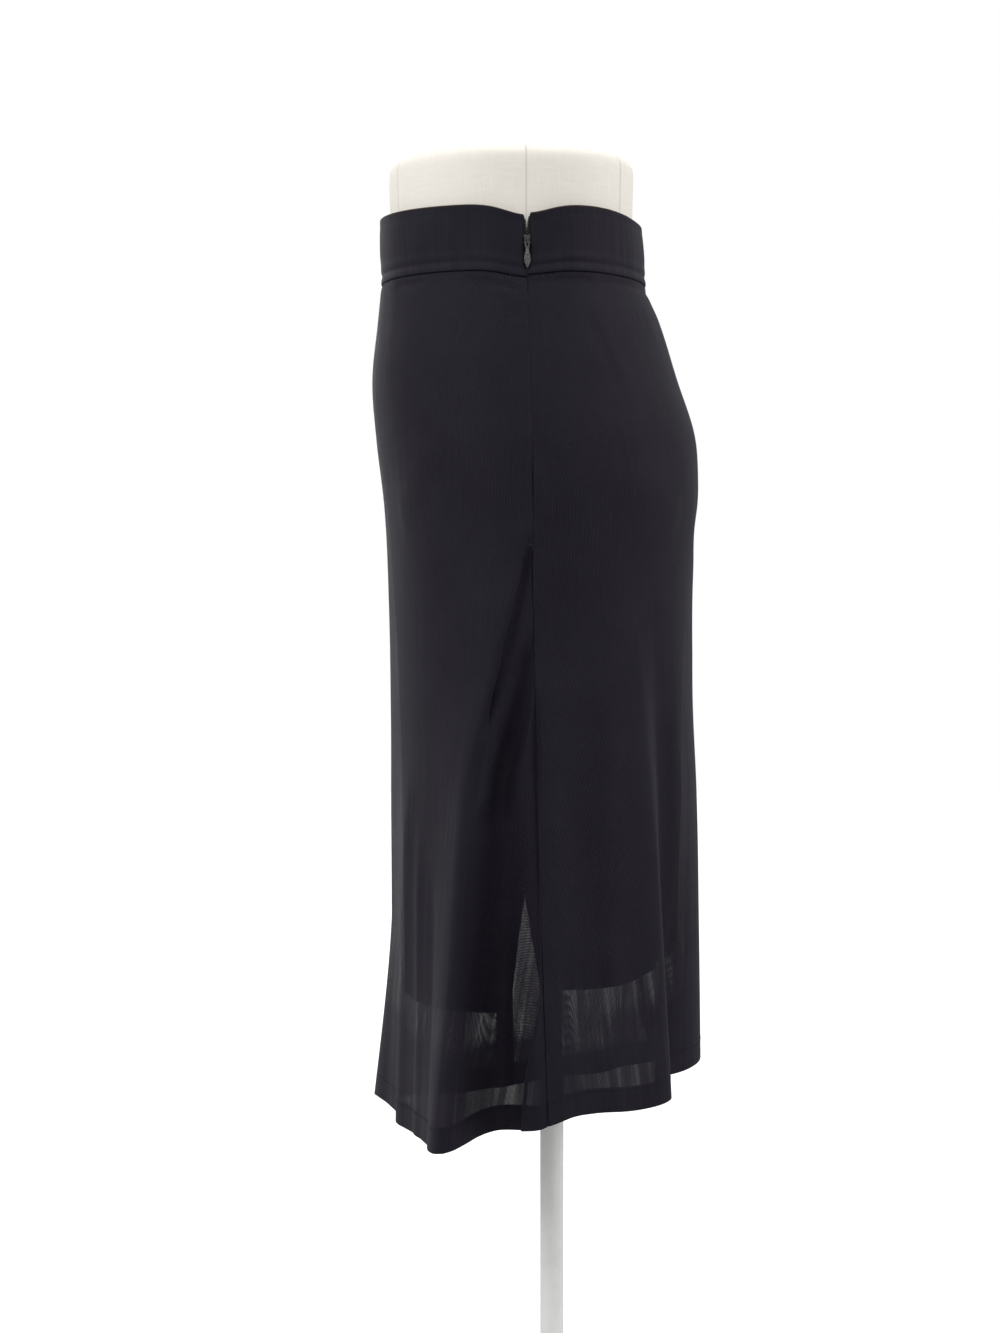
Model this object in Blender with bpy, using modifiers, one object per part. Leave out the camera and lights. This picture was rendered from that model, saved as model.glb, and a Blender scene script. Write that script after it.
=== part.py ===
"""A sheer knit skirt worn on a waist-and-hip skirt form with a pole and a round foot.

Metres, +Z up. The origin is the centre of the foot's underside, on the floor. The garment's front faces -Y,
and its zipped side seam faces +X. The cloth is worked out from three things: a table of sections, which gives
the girth at each distance below the waist; a table of folds, which pushes the cloth out or in; and a position
round the girth in degrees, where 0 is the zipped side seam, 90 the centre back, 180 the other side seam and
270 the centre front. Equal steps of girth position are equal lengths of cloth within the front or the back.
"""

import math
from collections import namedtuple

import bmesh
import bpy
import numpy as np
from mathutils import Matrix

# ---------------------------------------------------------------- driving sizes, in metres
WAIST_HEIGHT = 0.9695  # top edge of the waistband above the floor
BAND_WIDTH = 0.048  # the waistband, from its top edge to the seam
HEM_DROP = 0.654  # hem below the waist, at the side seams
HIP_DROP = 0.200  # below here the cloth begins to hang lower or higher, as the hem does
CREST_SAG = 0.10  # share of a fold's depth by which its edge hangs lower

CLOTH = 0.0012  # wall of the knit
HEM_WIDTH = 0.017  # turned-up hem, two layers thick
HEM_STEP = 0.002  # height over which the wall grows to two layers
BAND_CLOTH = 0.0020  # wall of the faced waistband
LINING_CLOTH = 0.0010
SEAM_GAP = 0.0003

ZIP_DROP = 0.236  # lower end of the zip below the waist
TAPE_HALF = 0.012  # half the width of the closed zip's tape
TAPE_CLOTH = 0.0007
TAPE_TAIL = 0.014  # tape below the end of the zip
DIP_FRONT = (0.0080, 0.0053)  # how far the band sags beside the zip, at its top edge and at its seam
DIP_BACK = (0.0065, 0.0036)
DIP_REACH = 0.022  # distance from the zip over which it sags
DIP_END_DROP = 0.120  # the sag has died out here

SLIT_DROP = 0.498  # top of the slit in each side seam of the lining
SLIT_HALF = 0.011  # half its width at the lining's hem
LINING_SWING = 13  # degrees by which the lining's far side seam hangs behind the skirt's

FOOT_RADIUS = 0.155
FOOT_THICK = 0.008
HUB_RADIUS = 0.018
HUB_HEIGHT = 0.034
POLE_RADIUS = 0.009
POLE_BEHIND = 0.009  # the tables' middle is this much in front of the pole's axis
POLE_FIT = 0.0003  # clearance round and under the pole
FORM_GAP = 0.0003  # between the pole's top and the form
FORM_CLEAR = 0.0009  # from the lining's inner face to the form's curve

# ---------------------------------------------------------------- tables
# drop: below the waist. half_width: from the middle to a side. front, back: from the pole's axis.
# seam_y: where the side seams lie. square: 2 is an ellipse, more is squarer, for the front and the back half.
Section = namedtuple("Section", "drop half_width front back seam_y square_front square_back")

SKIRT_SECTIONS = (
    Section(0.000, 0.1218, 0.1230, 0.0768, -0.0220, 2.10, 2.05),
    Section(0.024, 0.1216, 0.1230, 0.0789, -0.0220, 2.10, 2.05),
    Section(0.046, 0.1226, 0.1215, 0.0795, -0.0220, 2.10, 2.05),
    Section(0.052, 0.1236, 0.1222, 0.0805, -0.0220, 2.10, 2.05),
    Section(0.075, 0.1335, 0.1245, 0.0895, -0.0220, 2.10, 2.05),
    Section(0.120, 0.1510, 0.1288, 0.1035, -0.0220, 2.12, 2.05),
    Section(0.166, 0.1640, 0.1255, 0.1178, -0.0220, 2.15, 2.05),
    Section(0.215, 0.1720, 0.1195, 0.1188, -0.0220, 2.20, 2.05),
    Section(0.290, 0.1800, 0.1157, 0.1152, -0.0220, 2.25, 2.05),
    Section(0.370, 0.1880, 0.1142, 0.1155, -0.0215, 2.30, 2.05),
    Section(0.450, 0.1955, 0.1142, 0.1182, -0.0205, 2.35, 2.05),
    Section(0.550, 0.2040, 0.1140, 0.1178, -0.0190, 2.40, 2.05),
    Section(0.654, 0.2120, 0.1160, 0.1165, -0.0170, 2.40, 2.05),
)

# How far the lining's outer face is inside the skirt's smooth girth: it lies against the hips, and then hangs
# straighter, inside the deepest folds. seam: how far its side seams swing forward.
Hang = namedtuple("Hang", "drop side front back seam")

LINING_HANG = (
    Hang(0.050, 0.0022, 0.0022, 0.0022, 0.000),
    Hang(0.130, 0.0022, 0.0022, 0.0022, 0.000),
    Hang(0.215, 0.0022, 0.0022, 0.0022, 0.000),
    Hang(0.290, 0.0060, 0.0045, 0.0050, 0.000),
    Hang(0.400, 0.0180, 0.0090, 0.0105, 0.005),
    Hang(0.500, 0.0270, 0.0115, 0.0145, 0.009),
    Hang(0.572, 0.0340, 0.0135, 0.0165, 0.009),
)

# The form where the lining does not touch it: above the band's seam, and below the hips.
FORM_TOP = (
    Section(-0.045, 0.1150, 0.1165, 0.0715, -0.0225, 2.10, 2.05),
    Section(-0.018, 0.1142, 0.1156, 0.0702, -0.0224, 2.10, 2.05),
    Section(0.004, 0.1141, 0.1150, 0.0697, -0.0223, 2.10, 2.05),
    Section(0.028, 0.1155, 0.1145, 0.0708, -0.0221, 2.10, 2.05),
)
FORM_UNDER = (
    Section(0.235, 0.1645, 0.1100, 0.1085, -0.0220, 2.10, 2.05),
    Section(0.275, 0.1610, 0.1050, 0.1020, -0.0220, 2.05, 2.05),
)

# starts_at, hem_at: girth position where the fold begins and where it meets the hem. depth: out, or in if
# negative, at the hem. before, after: half-width in degrees of girth on each side. starts: drop of its tip.
# power: 1 grows evenly, less grows early. aim: direction of the push in plan; None is straight off the cloth.
Fold = namedtuple("Fold", "name starts_at hem_at depth before after starts power aim")

FOLDS = (
    Fold("front_side_flute", -2, -18, 0.046, 15, 5, 0.232, 0.9, -36),
    Fold("side_valley", -4, -9, -0.029, 6, 4, 0.290, 0.9, 5),
    Fold("back_side_edge", 0, -1, 0.015, 3, 11, 0.290, 0.9, 0),
    Fold("back_left_edge", 28, 34, 0.010, 10, 4, 0.300, 0.7, None),
    Fold("back_left_valley", 38, 44, -0.016, 5, 8, 0.300, 0.8, None),
    Fold("back_left_flute", 62, 64, 0.006, 9, 10, 0.360, 1.0, None),
    Fold("back_middle_valley", 85, 88, -0.010, 12, 12, 0.340, 1.0, None),
    Fold("back_right_flute", 112, 115, 0.024, 14, 10, 0.380, 1.3, None),
    Fold("back_right_valley", 140, 136, -0.012, 9, 9, 0.330, 1.0, None),
    Fold("far_back_flute", 172, 160, 0.026, 7, 12, 0.240, 0.9, 165),
    Fold("far_side_valley", 182, 178, -0.020, 7, 6, 0.290, 1.0, 180),
    Fold("far_front_flute", 184, 199, 0.036, 6, 14, 0.236, 0.9, 212),
    Fold("front_right_valley", 232, 226, -0.008, 12, 12, 0.350, 1.0, None),
    Fold("front_right_flute", 246, 250, 0.012, 14, 18, 0.520, 1.2, None),
    Fold("front_middle_valley", 280, 278, -0.006, 14, 14, 0.360, 1.0, None),
    Fold("front_left_flute", 305, 304, 0.005, 14, 12, 0.380, 1.0, None),
)
DRIFT = 0.7  # how early a fold leaves the place where it starts

# How much lower than level the waist dips at the back, by degrees of girth. It fades out by a drop below.
WaistStop = namedtuple("WaistStop", "girth lower")
WAIST_FALL = (
    WaistStop(0, 0.0000),
    WaistStop(36, 0.0000),
    WaistStop(48, 0.0020),
    WaistStop(60, 0.0042),
    WaistStop(90, 0.0050),
    WaistStop(120, 0.0030),
    WaistStop(150, 0.0000),
    WaistStop(360, 0.0000),
)
WAIST_FALL_END = 0.100

# How much lower than level the hem hangs, by degrees of girth.
HemStop = namedtuple("HemStop", "girth lower")
HEM_FALL = (
    HemStop(0, 0.0008),
    HemStop(6, -0.0040),
    HemStop(12, -0.0045),
    HemStop(22, -0.0030),
    HemStop(50, -0.0160),
    HemStop(90, -0.0280),
    HemStop(104, -0.0190),
    HemStop(122, 0.0020),
    HemStop(140, 0.0190),
    HemStop(158, 0.0300),
    HemStop(178, 0.0400),
    HemStop(187, 0.0440),
    HemStop(200, 0.0455),
    HemStop(213, 0.0420),
    HemStop(225, 0.0360),
    HemStop(240, 0.0270),
    HemStop(255, 0.0195),
    HemStop(270, 0.0230),
    HemStop(283, 0.0240),
    HemStop(297, 0.0195),
    HemStop(315, 0.0195),
    HemStop(340, 0.0160),
    HemStop(353, 0.0125),
    HemStop(360, 0.0008),
)

# Drops of the rows. Pieces that lie on each other share rows and columns, so that their walls stay parallel.
BODY_DROPS = (0.051, 0.063, 0.079, 0.097, 0.115, 0.135, 0.155, 0.178, 0.204)
TAPE_END = ZIP_DROP + TAPE_TAIL
LOW_DROPS = (0.280, 0.312, 0.344, 0.376, 0.408, 0.440, 0.472, 0.504, 0.534, 0.562, 0.588, 0.612)
FREE_DROPS = (ZIP_DROP, TAPE_END, *LOW_DROPS)
LINING_DROPS = (*BODY_DROPS, 0.228, TAPE_END, TAPE_END + 0.006, 0.320, 0.410, SLIT_DROP, 0.572)
BAND_DROPS = (0, 0.003, 0.010, 0.020, 0.032, 0.041, 0.0455, BAND_WIDTH)
TAPE_STRIPS = (0.0042, 0.0083, TAPE_HALF)  # distances from the zip to the first columns
PANEL_COLUMNS = 38
BAND_COLUMNS = 22
LINING_COLUMNS = 24

# Half the gap between the band's ends, down the zip: it opens round the slider and its pull.
GapStop = namedtuple("GapStop", "drop half_gap")
ZIP_GAP = (
    GapStop(0.0000, 0.0026),
    GapStop(0.0030, 0.0018),
    GapStop(0.0100, 0.0031),
    GapStop(0.0320, 0.0032),
    GapStop(0.0410, 0.0022),
    GapStop(0.0455, 0.0008),
    GapStop(0.0480, 0.0002),
)

# ---------------------------------------------------------------- the shape of worn cloth


def eased(table, column, at):
    """A column of a table, on a smooth curve through its rows, at a value of its first column."""
    drops = np.array([row[0] for row in table])
    values = np.array([getattr(row, column) for row in table])
    slopes = np.gradient(values, drops)
    at = np.clip(at, drops[0], drops[-1])
    i = np.clip(np.searchsorted(drops, at, side="right") - 1, 0, len(drops) - 2)
    span = drops[i + 1] - drops[i]
    t = (at - drops[i]) / span
    start = (2 * t**3 - 3 * t**2 + 1) * values[i] + (t**3 - 2 * t**2 + t) * span * slopes[i]
    end = (3 * t**2 - 2 * t**3) * values[i + 1] + (t**3 - t**2) * span * slopes[i + 1]
    return start + end


def section_at(table, drop):
    return Section(drop, *(float(eased(table, name, drop)) for name in Section._fields[1:]))


def girth_curve(section):
    """(girth degrees, points, half girths) of a whole turn, with each half evened by its length."""
    turn = np.radians(np.linspace(0, 360, 1441))
    c, s = np.cos(turn), np.sin(turn)
    power = np.where(s >= 0, 2 / section.square_back, 2 / section.square_front)
    reach = np.where(s >= 0, section.back - section.seam_y, section.front + section.seam_y)
    x = section.half_width * np.sign(c) * np.abs(c) ** power
    y = section.seam_y + reach * np.sign(s) * np.abs(s) ** power
    along = np.concatenate([[0], np.cumsum(np.hypot(np.diff(x), np.diff(y)))])
    half = along[720]
    girth = np.where(turn <= math.pi, along / half * 180, 180 + (along - half) / (along[-1] - half) * 180)
    return girth, np.stack([x, y], 1), (half, along[-1] - half)


def inset(section, side, front, back, seam=0.0):
    """A section drawn in, by a distance at the sides, the front and the back, its seams moved forward."""
    drawn_in = {"half_width": section.half_width - side}
    drawn_in |= {"front": section.front - front, "back": section.back - back}
    return section._replace(**drawn_in, seam_y=section.seam_y - seam)


def hung(drop):
    """The lining's section at a drop."""
    inside = [float(eased(LINING_HANG, name, drop)) for name in ("side", "front", "back", "seam")]
    return inset(section_at(SKIRT_SECTIONS, drop), *inside)


LINING_SECTIONS = tuple(hung(drop) for drop in LINING_DROPS)
UNDER_LINING = LINING_CLOTH + FORM_CLEAR
ON_BODY = tuple(inset(hung(drop), UNDER_LINING, UNDER_LINING, UNDER_LINING) for drop in BODY_DROPS)
FORM_SECTIONS = (*FORM_TOP, *ON_BODY, *FORM_UNDER)


def around(section, girth):
    """(points, outward normals) of a section at positions round the girth."""
    known, points, _ = girth_curve(section)

    def at(where):
        where = np.mod(where, 360)
        return np.stack([np.interp(where, known, points[:, k]) for k in (0, 1)], -1)

    step = 0.8
    along = at(girth + step) - at(girth - step)
    normal = np.stack([along[:, 1], -along[:, 0]], 1)
    return at(girth), normal / np.linalg.norm(normal, axis=1)[:, None]


def degrees_of(width, section, in_back):
    """Degrees of girth that a width of cloth takes, in the back or the front half."""
    _, _, halves = girth_curve(section)
    return width / halves[0 if in_back else 1] * 180


def fold_pushes(girth, drop, normal):
    """(how far, in which way) each fold pushes the cloth, round one ring."""
    for fold in FOLDS:
        grown = max(0.0, (drop - fold.starts) / (HEM_DROP - fold.starts))
        centre = fold.starts_at + (fold.hem_at - fold.starts_at) * min(1.0, grown**DRIFT)
        away = np.mod(girth - centre + 180, 360) - 180
        width = np.where(away < 0, fold.before, fold.after)
        if fold.aim is None:
            way = normal
        else:
            way = np.array([math.cos(math.radians(fold.aim)), math.sin(math.radians(fold.aim))])
        yield fold.depth * grown**fold.power / np.cosh(away / width) ** 2, way


def zip_dip(girth, drop, section):
    """How much lower the band and the cloth below it hang beside the zip."""
    away = np.mod(girth + 180, 360) - 180
    _, _, halves = girth_curve(section)
    metres = np.abs(away) / 180 * np.where(away < 0, halves[1], halves[0])
    share = min(drop / BAND_WIDTH, 1.0)
    fade = max(0.0, 1 - max(0.0, drop - BAND_WIDTH) / (DIP_END_DROP - BAND_WIDTH)) ** 2
    depth = [top + (seam - top) * share for top, seam in (DIP_FRONT, DIP_BACK)]
    return fade * np.where(away < 0, depth[0], depth[1]) * np.exp(-((metres / DIP_REACH) ** 2))


def ring(table, drop, girth, folded=True):
    """Points of the cloth's outer face round one ring, at a nominal drop below the waist."""
    girth = np.asarray(girth, float)
    section = section_at(table, drop)
    flat, normal = around(section, girth)
    dip = zip_dip(girth, drop, section)
    if dip.max() > 0:
        deepest, _ = around(section_at(table, drop + dip.max()), girth)
        flat = flat + (deepest - flat) * (dip / dip.max())[:, None]
    tilt = max(0.0, (drop - HIP_DROP) / (HEM_DROP - HIP_DROP))
    fade = max(0.0, 1 - max(drop, 0.0) / WAIST_FALL_END) ** 2
    lower = dip + fade * eased(WAIST_FALL, "lower", np.mod(girth, 360))
    lower = lower + tilt * eased(HEM_FALL, "lower", np.mod(girth, 360))
    if folded:
        for push, way in fold_pushes(girth, drop, normal):
            flat = flat + way * push[:, None]
            lower = lower + CREST_SAG * push
    return np.column_stack([flat[:, 0], flat[:, 1] - POLE_BEHIND, WAIST_HEIGHT - drop - lower])


def faces_out(table, drop, girth, folded=True):
    """Outward normals of the cloth at the points of one ring."""
    step, turn = 0.0015, 0.8
    up = ring(table, drop - step, girth, folded) - ring(table, drop + step, girth, folded)
    along = ring(table, drop, girth + turn, folded) - ring(table, drop, girth - turn, folded)
    normal = np.cross(along, up)
    return normal / np.linalg.norm(normal, axis=1)[:, None]


def crowded(first, last, count):
    """Columns from first to last degrees, closer together where folds are."""
    fine = np.linspace(first, last, 400)
    density = np.ones_like(fine)
    for fold in FOLDS:
        away = np.mod(fine - fold.hem_at + 180, 360) - 180
        density += 1.6 * abs(fold.depth) / 0.02 * np.exp(-((away / 10) ** 2))
    total = np.concatenate([[0], np.cumsum((density[1:] + density[:-1]) / 2)])
    return np.interp(np.linspace(0, total[-1], count + 1), total, fine)


def columns_at(table, drop, in_back, zip_inset, far_inset, count, even=False):
    """Girth positions of one ring of a front or back piece, kept off its two side seams by the insets."""
    section = section_at(table, drop)
    near = degrees_of(np.array([zip_inset, *TAPE_STRIPS]), section, in_back)
    last = 180 - degrees_of(far_inset, section, in_back)
    if even:
        rest = np.linspace(near[-1], last, count + 1)
    elif in_back:
        rest = crowded(near[-1], last, count)
    else:
        rest = 360 - crowded(360 - last, 360 - near[-1], count)[::-1]
    away = np.concatenate([near[:-1], rest])
    return away if in_back else 360 - away[::-1]


# ---------------------------------------------------------------- Blender helpers


def clear_scene():
    for old in list(bpy.data.objects):
        bpy.data.objects.remove(old)


def collection(name):
    made = bpy.data.collections.new(name)
    bpy.context.scene.collection.children.link(made)
    return made


def material(name, colour, roughness, metallic=0.0):
    made = bpy.data.materials.new(name)
    made.use_nodes = True
    shader = made.node_tree.nodes["Principled BSDF"]
    shader.inputs["Base Color"].default_value = (*colour, 1)
    shader.inputs["Roughness"].default_value = roughness
    shader.inputs["Metallic"].default_value = metallic
    return made


def add_object(name, mesh, finish, into):
    made = bpy.data.objects.new(name, mesh)
    mesh.materials.append(finish)
    into.objects.link(made)
    return made


def lofted(name, rows):
    """A closed mesh through rings of points that run anticlockwise, from the top down, capped at its ends."""
    bm = bmesh.new()
    grid = [[bm.verts.new(point) for point in row] for row in rows]
    for upper, lower in zip(grid, grid[1:]):
        for c in range(len(upper)):
            after = (c + 1) % len(upper)
            bm.faces.new((upper[c], lower[c], lower[after], upper[after]))
    bm.faces.new(grid[0])
    bm.faces.new(list(reversed(grid[-1])))
    mesh = bpy.data.meshes.new(name)
    bm.to_mesh(mesh)
    bm.free()
    mesh.shade_smooth()
    return mesh


def shell(name, outer, inner):
    """A closed wall between an outer and an inner surface, each a list of rows of points."""
    bm = bmesh.new()
    out = [[bm.verts.new(point) for point in row] for row in outer]
    inn = [[bm.verts.new(point) for point in row] for row in inner]
    last = len(out[0]) - 1
    for r in range(len(out) - 1):
        for c in range(last):
            bm.faces.new((out[r][c], out[r + 1][c], out[r + 1][c + 1], out[r][c + 1]))
            bm.faces.new((inn[r][c + 1], inn[r + 1][c + 1], inn[r + 1][c], inn[r][c]))
        for c, (a, b) in ((0, (inn, out)), (last, (out, inn))):
            bm.faces.new((a[r][c], a[r + 1][c], b[r + 1][c], b[r][c]))
    for r, (a, b) in ((0, (out, inn)), (-1, (inn, out))):
        for c in range(last):
            bm.faces.new((a[r][c], a[r][c + 1], b[r][c + 1], b[r][c]))
    mesh = bpy.data.meshes.new(name)
    bm.to_mesh(mesh)
    bm.free()
    return mesh


def turned(name, profile, finish, into, steps=48):
    """A turned solid: a profile of (radius, height) points, down its outer side, spun round Z."""
    mesh = bpy.data.meshes.new(name)
    mesh.from_pydata([(r, 0, z) for r, z in profile], [(i, i + 1) for i in range(len(profile) - 1)], [])
    thing = add_object(name, mesh, finish, into)
    spin = thing.modifiers.new("turn", "SCREW")
    spin.steps = spin.render_steps = steps
    spin.use_merge_vertices = True
    spin.merge_threshold = 0.00005
    return thing


# ---------------------------------------------------------------- the garment's pieces
# Row: its drop, girth positions, distance of its outer face behind the cloth's face, and its wall.
Row = namedtuple("Row", "drop girth behind wall")


def make_cloth(name, table, rows, finish, into, folded=True):
    """A piece of cloth. Each point of its two faces is moved in from the table's surface."""
    outer = []
    inner = []
    for row in rows:
        face = ring(table, row.drop, row.girth, folded)
        normal = faces_out(table, row.drop, row.girth, folded)
        outer.append(face - normal * row.behind)
        inner.append(face - normal * (row.behind + row.wall))
    return add_object(name, shell(name, outer, inner), finish, into)


def make_panel(name, in_back, finish, into):
    """Front or back of the skirt, from the band's seam to the hem, which is two layers thick."""
    hem_top = HEM_DROP - HEM_WIDTH
    drops = (BAND_WIDTH + SEAM_GAP, *BODY_DROPS[1:], *FREE_DROPS, hem_top - HEM_STEP)
    rows = []
    for drop in (*drops, hem_top, HEM_DROP - HEM_WIDTH / 2, HEM_DROP):
        girth = columns_at(SKIRT_SECTIONS, drop, in_back, SEAM_GAP / 2, SEAM_GAP / 2, PANEL_COLUMNS)
        rows.append(Row(drop, girth, 0, CLOTH if drop < hem_top else 2 * CLOTH))
    make_cloth(name, SKIRT_SECTIONS, rows, finish, into)


def make_band(name, in_back, finish, into):
    """Front or back of the waistband, whose end beside the zip opens round the slider."""
    rows = []
    for drop in BAND_DROPS:
        half_gap = np.interp(drop, [stop.drop for stop in ZIP_GAP], [stop.half_gap for stop in ZIP_GAP])
        girth = columns_at(SKIRT_SECTIONS, drop, in_back, half_gap, SEAM_GAP / 2, BAND_COLUMNS, even=True)
        rows.append(Row(drop, girth, 0, BAND_CLOTH))
    make_cloth(name, SKIRT_SECTIONS, rows, finish, into)


def lining_opening(drop, at_zip):
    """How far the lining's edge stays from its side seam: round the zip's tape above, in the slit below."""
    if at_zip and drop <= TAPE_END:
        return TAPE_HALF + SEAM_GAP * 2
    if drop <= SLIT_DROP:
        return SEAM_GAP / 2
    return SEAM_GAP / 2 + SLIT_HALF * (drop - SLIT_DROP) / (LINING_DROPS[-1] - SLIT_DROP)


def make_lining(name, in_back, finish, into):
    """Front or back of the lining, which is shorter than the skirt and has a slit at each side."""
    rows = []
    for drop in LINING_DROPS:
        section = section_at(LINING_SECTIONS, drop)
        far_seam = 180 - np.interp(drop, (0.256, 0.410), (0, LINING_SWING))
        first, last = (0, far_seam) if in_back else (far_seam, 360)
        zip_edge = degrees_of(lining_opening(drop, True), section, in_back)
        far_edge = degrees_of(lining_opening(drop, False), section, in_back)
        start, end = (zip_edge, far_edge) if in_back else (far_edge, zip_edge)
        girth = np.linspace(first, last, LINING_COLUMNS + 1)
        girth[0] += start
        girth[-1] -= end
        rows.append(Row(drop, girth, 0, LINING_CLOTH))
    make_cloth(name, LINING_SECTIONS, rows, finish, into, folded=False)


def make_tape(name, in_back, finish, into):
    """One side of the zip's tape, behind the band and the panel, and parted above the slider."""
    drops = (0.003, *BAND_DROPS[2:-1], *[drop for drop in BODY_DROPS if drop < ZIP_DROP], ZIP_DROP)
    rows = []
    for drop in (*drops, TAPE_END):
        section = section_at(SKIRT_SECTIONS, drop)
        parted = 0.0002 + 0.0014 * max(0.0, 1 - drop / 0.018)
        girth = degrees_of(np.array([parted, *TAPE_STRIPS]), section, in_back)
        behind = (BAND_CLOTH if drop < BODY_DROPS[1] else CLOTH) + SEAM_GAP
        rows.append(Row(drop, girth if in_back else 360 - girth[::-1], behind, TAPE_CLOTH))
    make_cloth(name, SKIRT_SECTIONS, rows, finish, into)


# ---------------------------------------------------------------- the slider and its pull
SLIDER_DROP = 0.0235  # where the pull turns, below the waist
SLIDER_SINK = 0.0  # the slider's face lies this far inside the band's face
PULL_LEAN = math.radians(3.0)  # the band leans out this much below the slider
BAR = 0.0005  # half the thickness of the pull's plate and of its top bar
BAIL_INSIDE = 0.0022  # the bail's clear depth, from the slider's face
BAIL_WIRE = 0.0008
BAIL_HALF_WIDTH = 0.0006


def box_mesh(bm, low, high):
    """A box from its lowest to its highest corner, in the pull's own frame."""
    middle = [(a + b) / 2 for a, b in zip(low, high)]
    size = [b - a for a, b in zip(low, high)]
    bmesh.ops.create_cube(bm, size=1, matrix=Matrix.Translation(middle) @ Matrix.Diagonal((*size, 1)))


def boxes_object(name, boxes, finish, into):
    """One solid from overlapping boxes, joined by Boolean unions."""
    things = []
    for i, (low, high) in enumerate(boxes):
        bm = bmesh.new()
        box_mesh(bm, low, high)
        mesh = bpy.data.meshes.new(name)
        bm.to_mesh(mesh)
        bm.free()
        things.append(add_object(name if i == 0 else f"{name}_join_{i}", mesh, finish, into))
    for other in things[1:]:
        join = things[0].modifiers.new("join", "BOOLEAN")
        join.operation = "UNION"
        join.object = other
        other.hide_render = True
        other.display_type = "WIRE"
    return things


def pivot_place():
    """(matrix that puts the pull's frame in place, pivot point). In its frame +X points off the cloth."""
    face = ring(SKIRT_SECTIONS, SLIDER_DROP, [0.0])[0]
    pivot = (face[0] - SLIDER_SINK + BAIL_INSIDE / 2, face[1], face[2])
    return Matrix.Translation(pivot) @ Matrix.Rotation(-PULL_LEAN, 4, "Y"), pivot


def make_slider(finish, into):
    """The slider's body with its bail, an arch that holds the pull's top bar."""
    face = -BAIL_INSIDE / 2
    outside = BAIL_INSIDE / 2 + BAIL_WIRE
    low, high = -0.0015, 0.0046
    boxes = (
        ((face - 0.0019, -0.0026, -0.0035), (face, 0.0026, 0.0060)),
        ((face - 0.0004, -BAIL_HALF_WIDTH, low), (outside, BAIL_HALF_WIDTH, low + BAIL_WIRE)),
        ((face - 0.0004, -BAIL_HALF_WIDTH, high - BAIL_WIRE), (outside, BAIL_HALF_WIDTH, high)),
        ((outside - BAIL_WIRE, -BAIL_HALF_WIDTH, low), (outside, BAIL_HALF_WIDTH, high)),
    )
    place, _ = pivot_place()
    for thing in boxes_object("zip_slider", boxes, finish, into):
        thing.matrix_world = place


# Outline of the drop-shaped pull: distance below its turning axis, and half-width there.
PullStop = namedtuple("PullStop", "below half_width")
PULL_OUTLINE = (
    PullStop(-0.0005, 0.0019),
    PullStop(0.0040, 0.0019),
    PullStop(0.0070, 0.0015),
    PullStop(0.0120, 0.0026),
    PullStop(0.0148, 0.0025),
    PullStop(0.0175, 0.0014),
    PullStop(0.0192, 0.0007),
)
EYE_TOP, EYE_BOTTOM, EYE_HALF = 0.0005, 0.0034, 0.0010


def make_pull(finish, into):
    """The pull: a flat drop with an eye at its top, through which the bail passes."""
    outline = [(stop.half_width, -stop.below) for stop in PULL_OUTLINE]
    outline += [(-y, z) for y, z in reversed(outline)]
    bm = bmesh.new()
    plate = bm.faces.new([bm.verts.new((-BAR, y, z)) for y, z in outline])
    moved = bmesh.ops.extrude_face_region(bm, geom=[plate])["geom"]
    raised = [item for item in moved if isinstance(item, bmesh.types.BMVert)]
    bmesh.ops.translate(bm, vec=(2 * BAR, 0, 0), verts=raised)
    bmesh.ops.recalc_face_normals(bm, faces=bm.faces)
    mesh = bpy.data.meshes.new("zip_pull")
    bm.to_mesh(mesh)
    bm.free()
    pull = add_object("zip_pull", mesh, finish, into)
    bm = bmesh.new()
    box_mesh(bm, (-0.002, -EYE_HALF, -EYE_BOTTOM), (0.002, EYE_HALF, -EYE_TOP))
    eye_mesh = bpy.data.meshes.new("zip_pull_eye")
    bm.to_mesh(eye_mesh)
    bm.free()
    eye = add_object("zip_pull_eye", eye_mesh, finish, into)
    eye.hide_render = True
    eye.display_type = "WIRE"
    cut = pull.modifiers.new("eye", "BOOLEAN")
    cut.operation = "DIFFERENCE"
    cut.object = eye
    place, _ = pivot_place()
    pull.matrix_world = place
    eye.matrix_world = place


# ---------------------------------------------------------------- the form and its stand
FORM_COLUMNS = 48
FORM_DROPS = (-0.036, -0.018, 0.0, 0.020, 0.036, *BODY_DROPS, 0.232, 0.262)
# Rounding of the form's two ends: distance past the end ring, and how far its edge draws in.
RoundStop = namedtuple("RoundStop", "past inward")
ROUNDING = (RoundStop(0.0045, 0.0014), RoundStop(0.0078, 0.0050), RoundStop(0.0090, 0.0100))


def form_ring(drop, inward, height):
    girth = np.linspace(0, 360, FORM_COLUMNS, endpoint=False)
    flat, normal = around(section_at(FORM_SECTIONS, drop), girth)
    flat = flat - normal * inward
    return np.column_stack([flat[:, 0], flat[:, 1] - POLE_BEHIND, np.full(len(flat), height)])


def make_form(finish, into):
    """The padded body of the form, from above the waist to below the hips, rounded at both ends."""
    first, last = FORM_DROPS[0], FORM_DROPS[-1]
    rows = [form_ring(first, r.inward, WAIST_HEIGHT - first + r.past) for r in reversed(ROUNDING)]
    rows += [form_ring(drop, 0, WAIST_HEIGHT - drop) for drop in FORM_DROPS]
    rows += [form_ring(last, r.inward, WAIST_HEIGHT - last - r.past) for r in ROUNDING]
    add_object("form_body", lofted("form_body", rows), finish, into)


def form_underside():
    return WAIST_HEIGHT - FORM_DROPS[-1] - ROUNDING[-1].past


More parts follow.
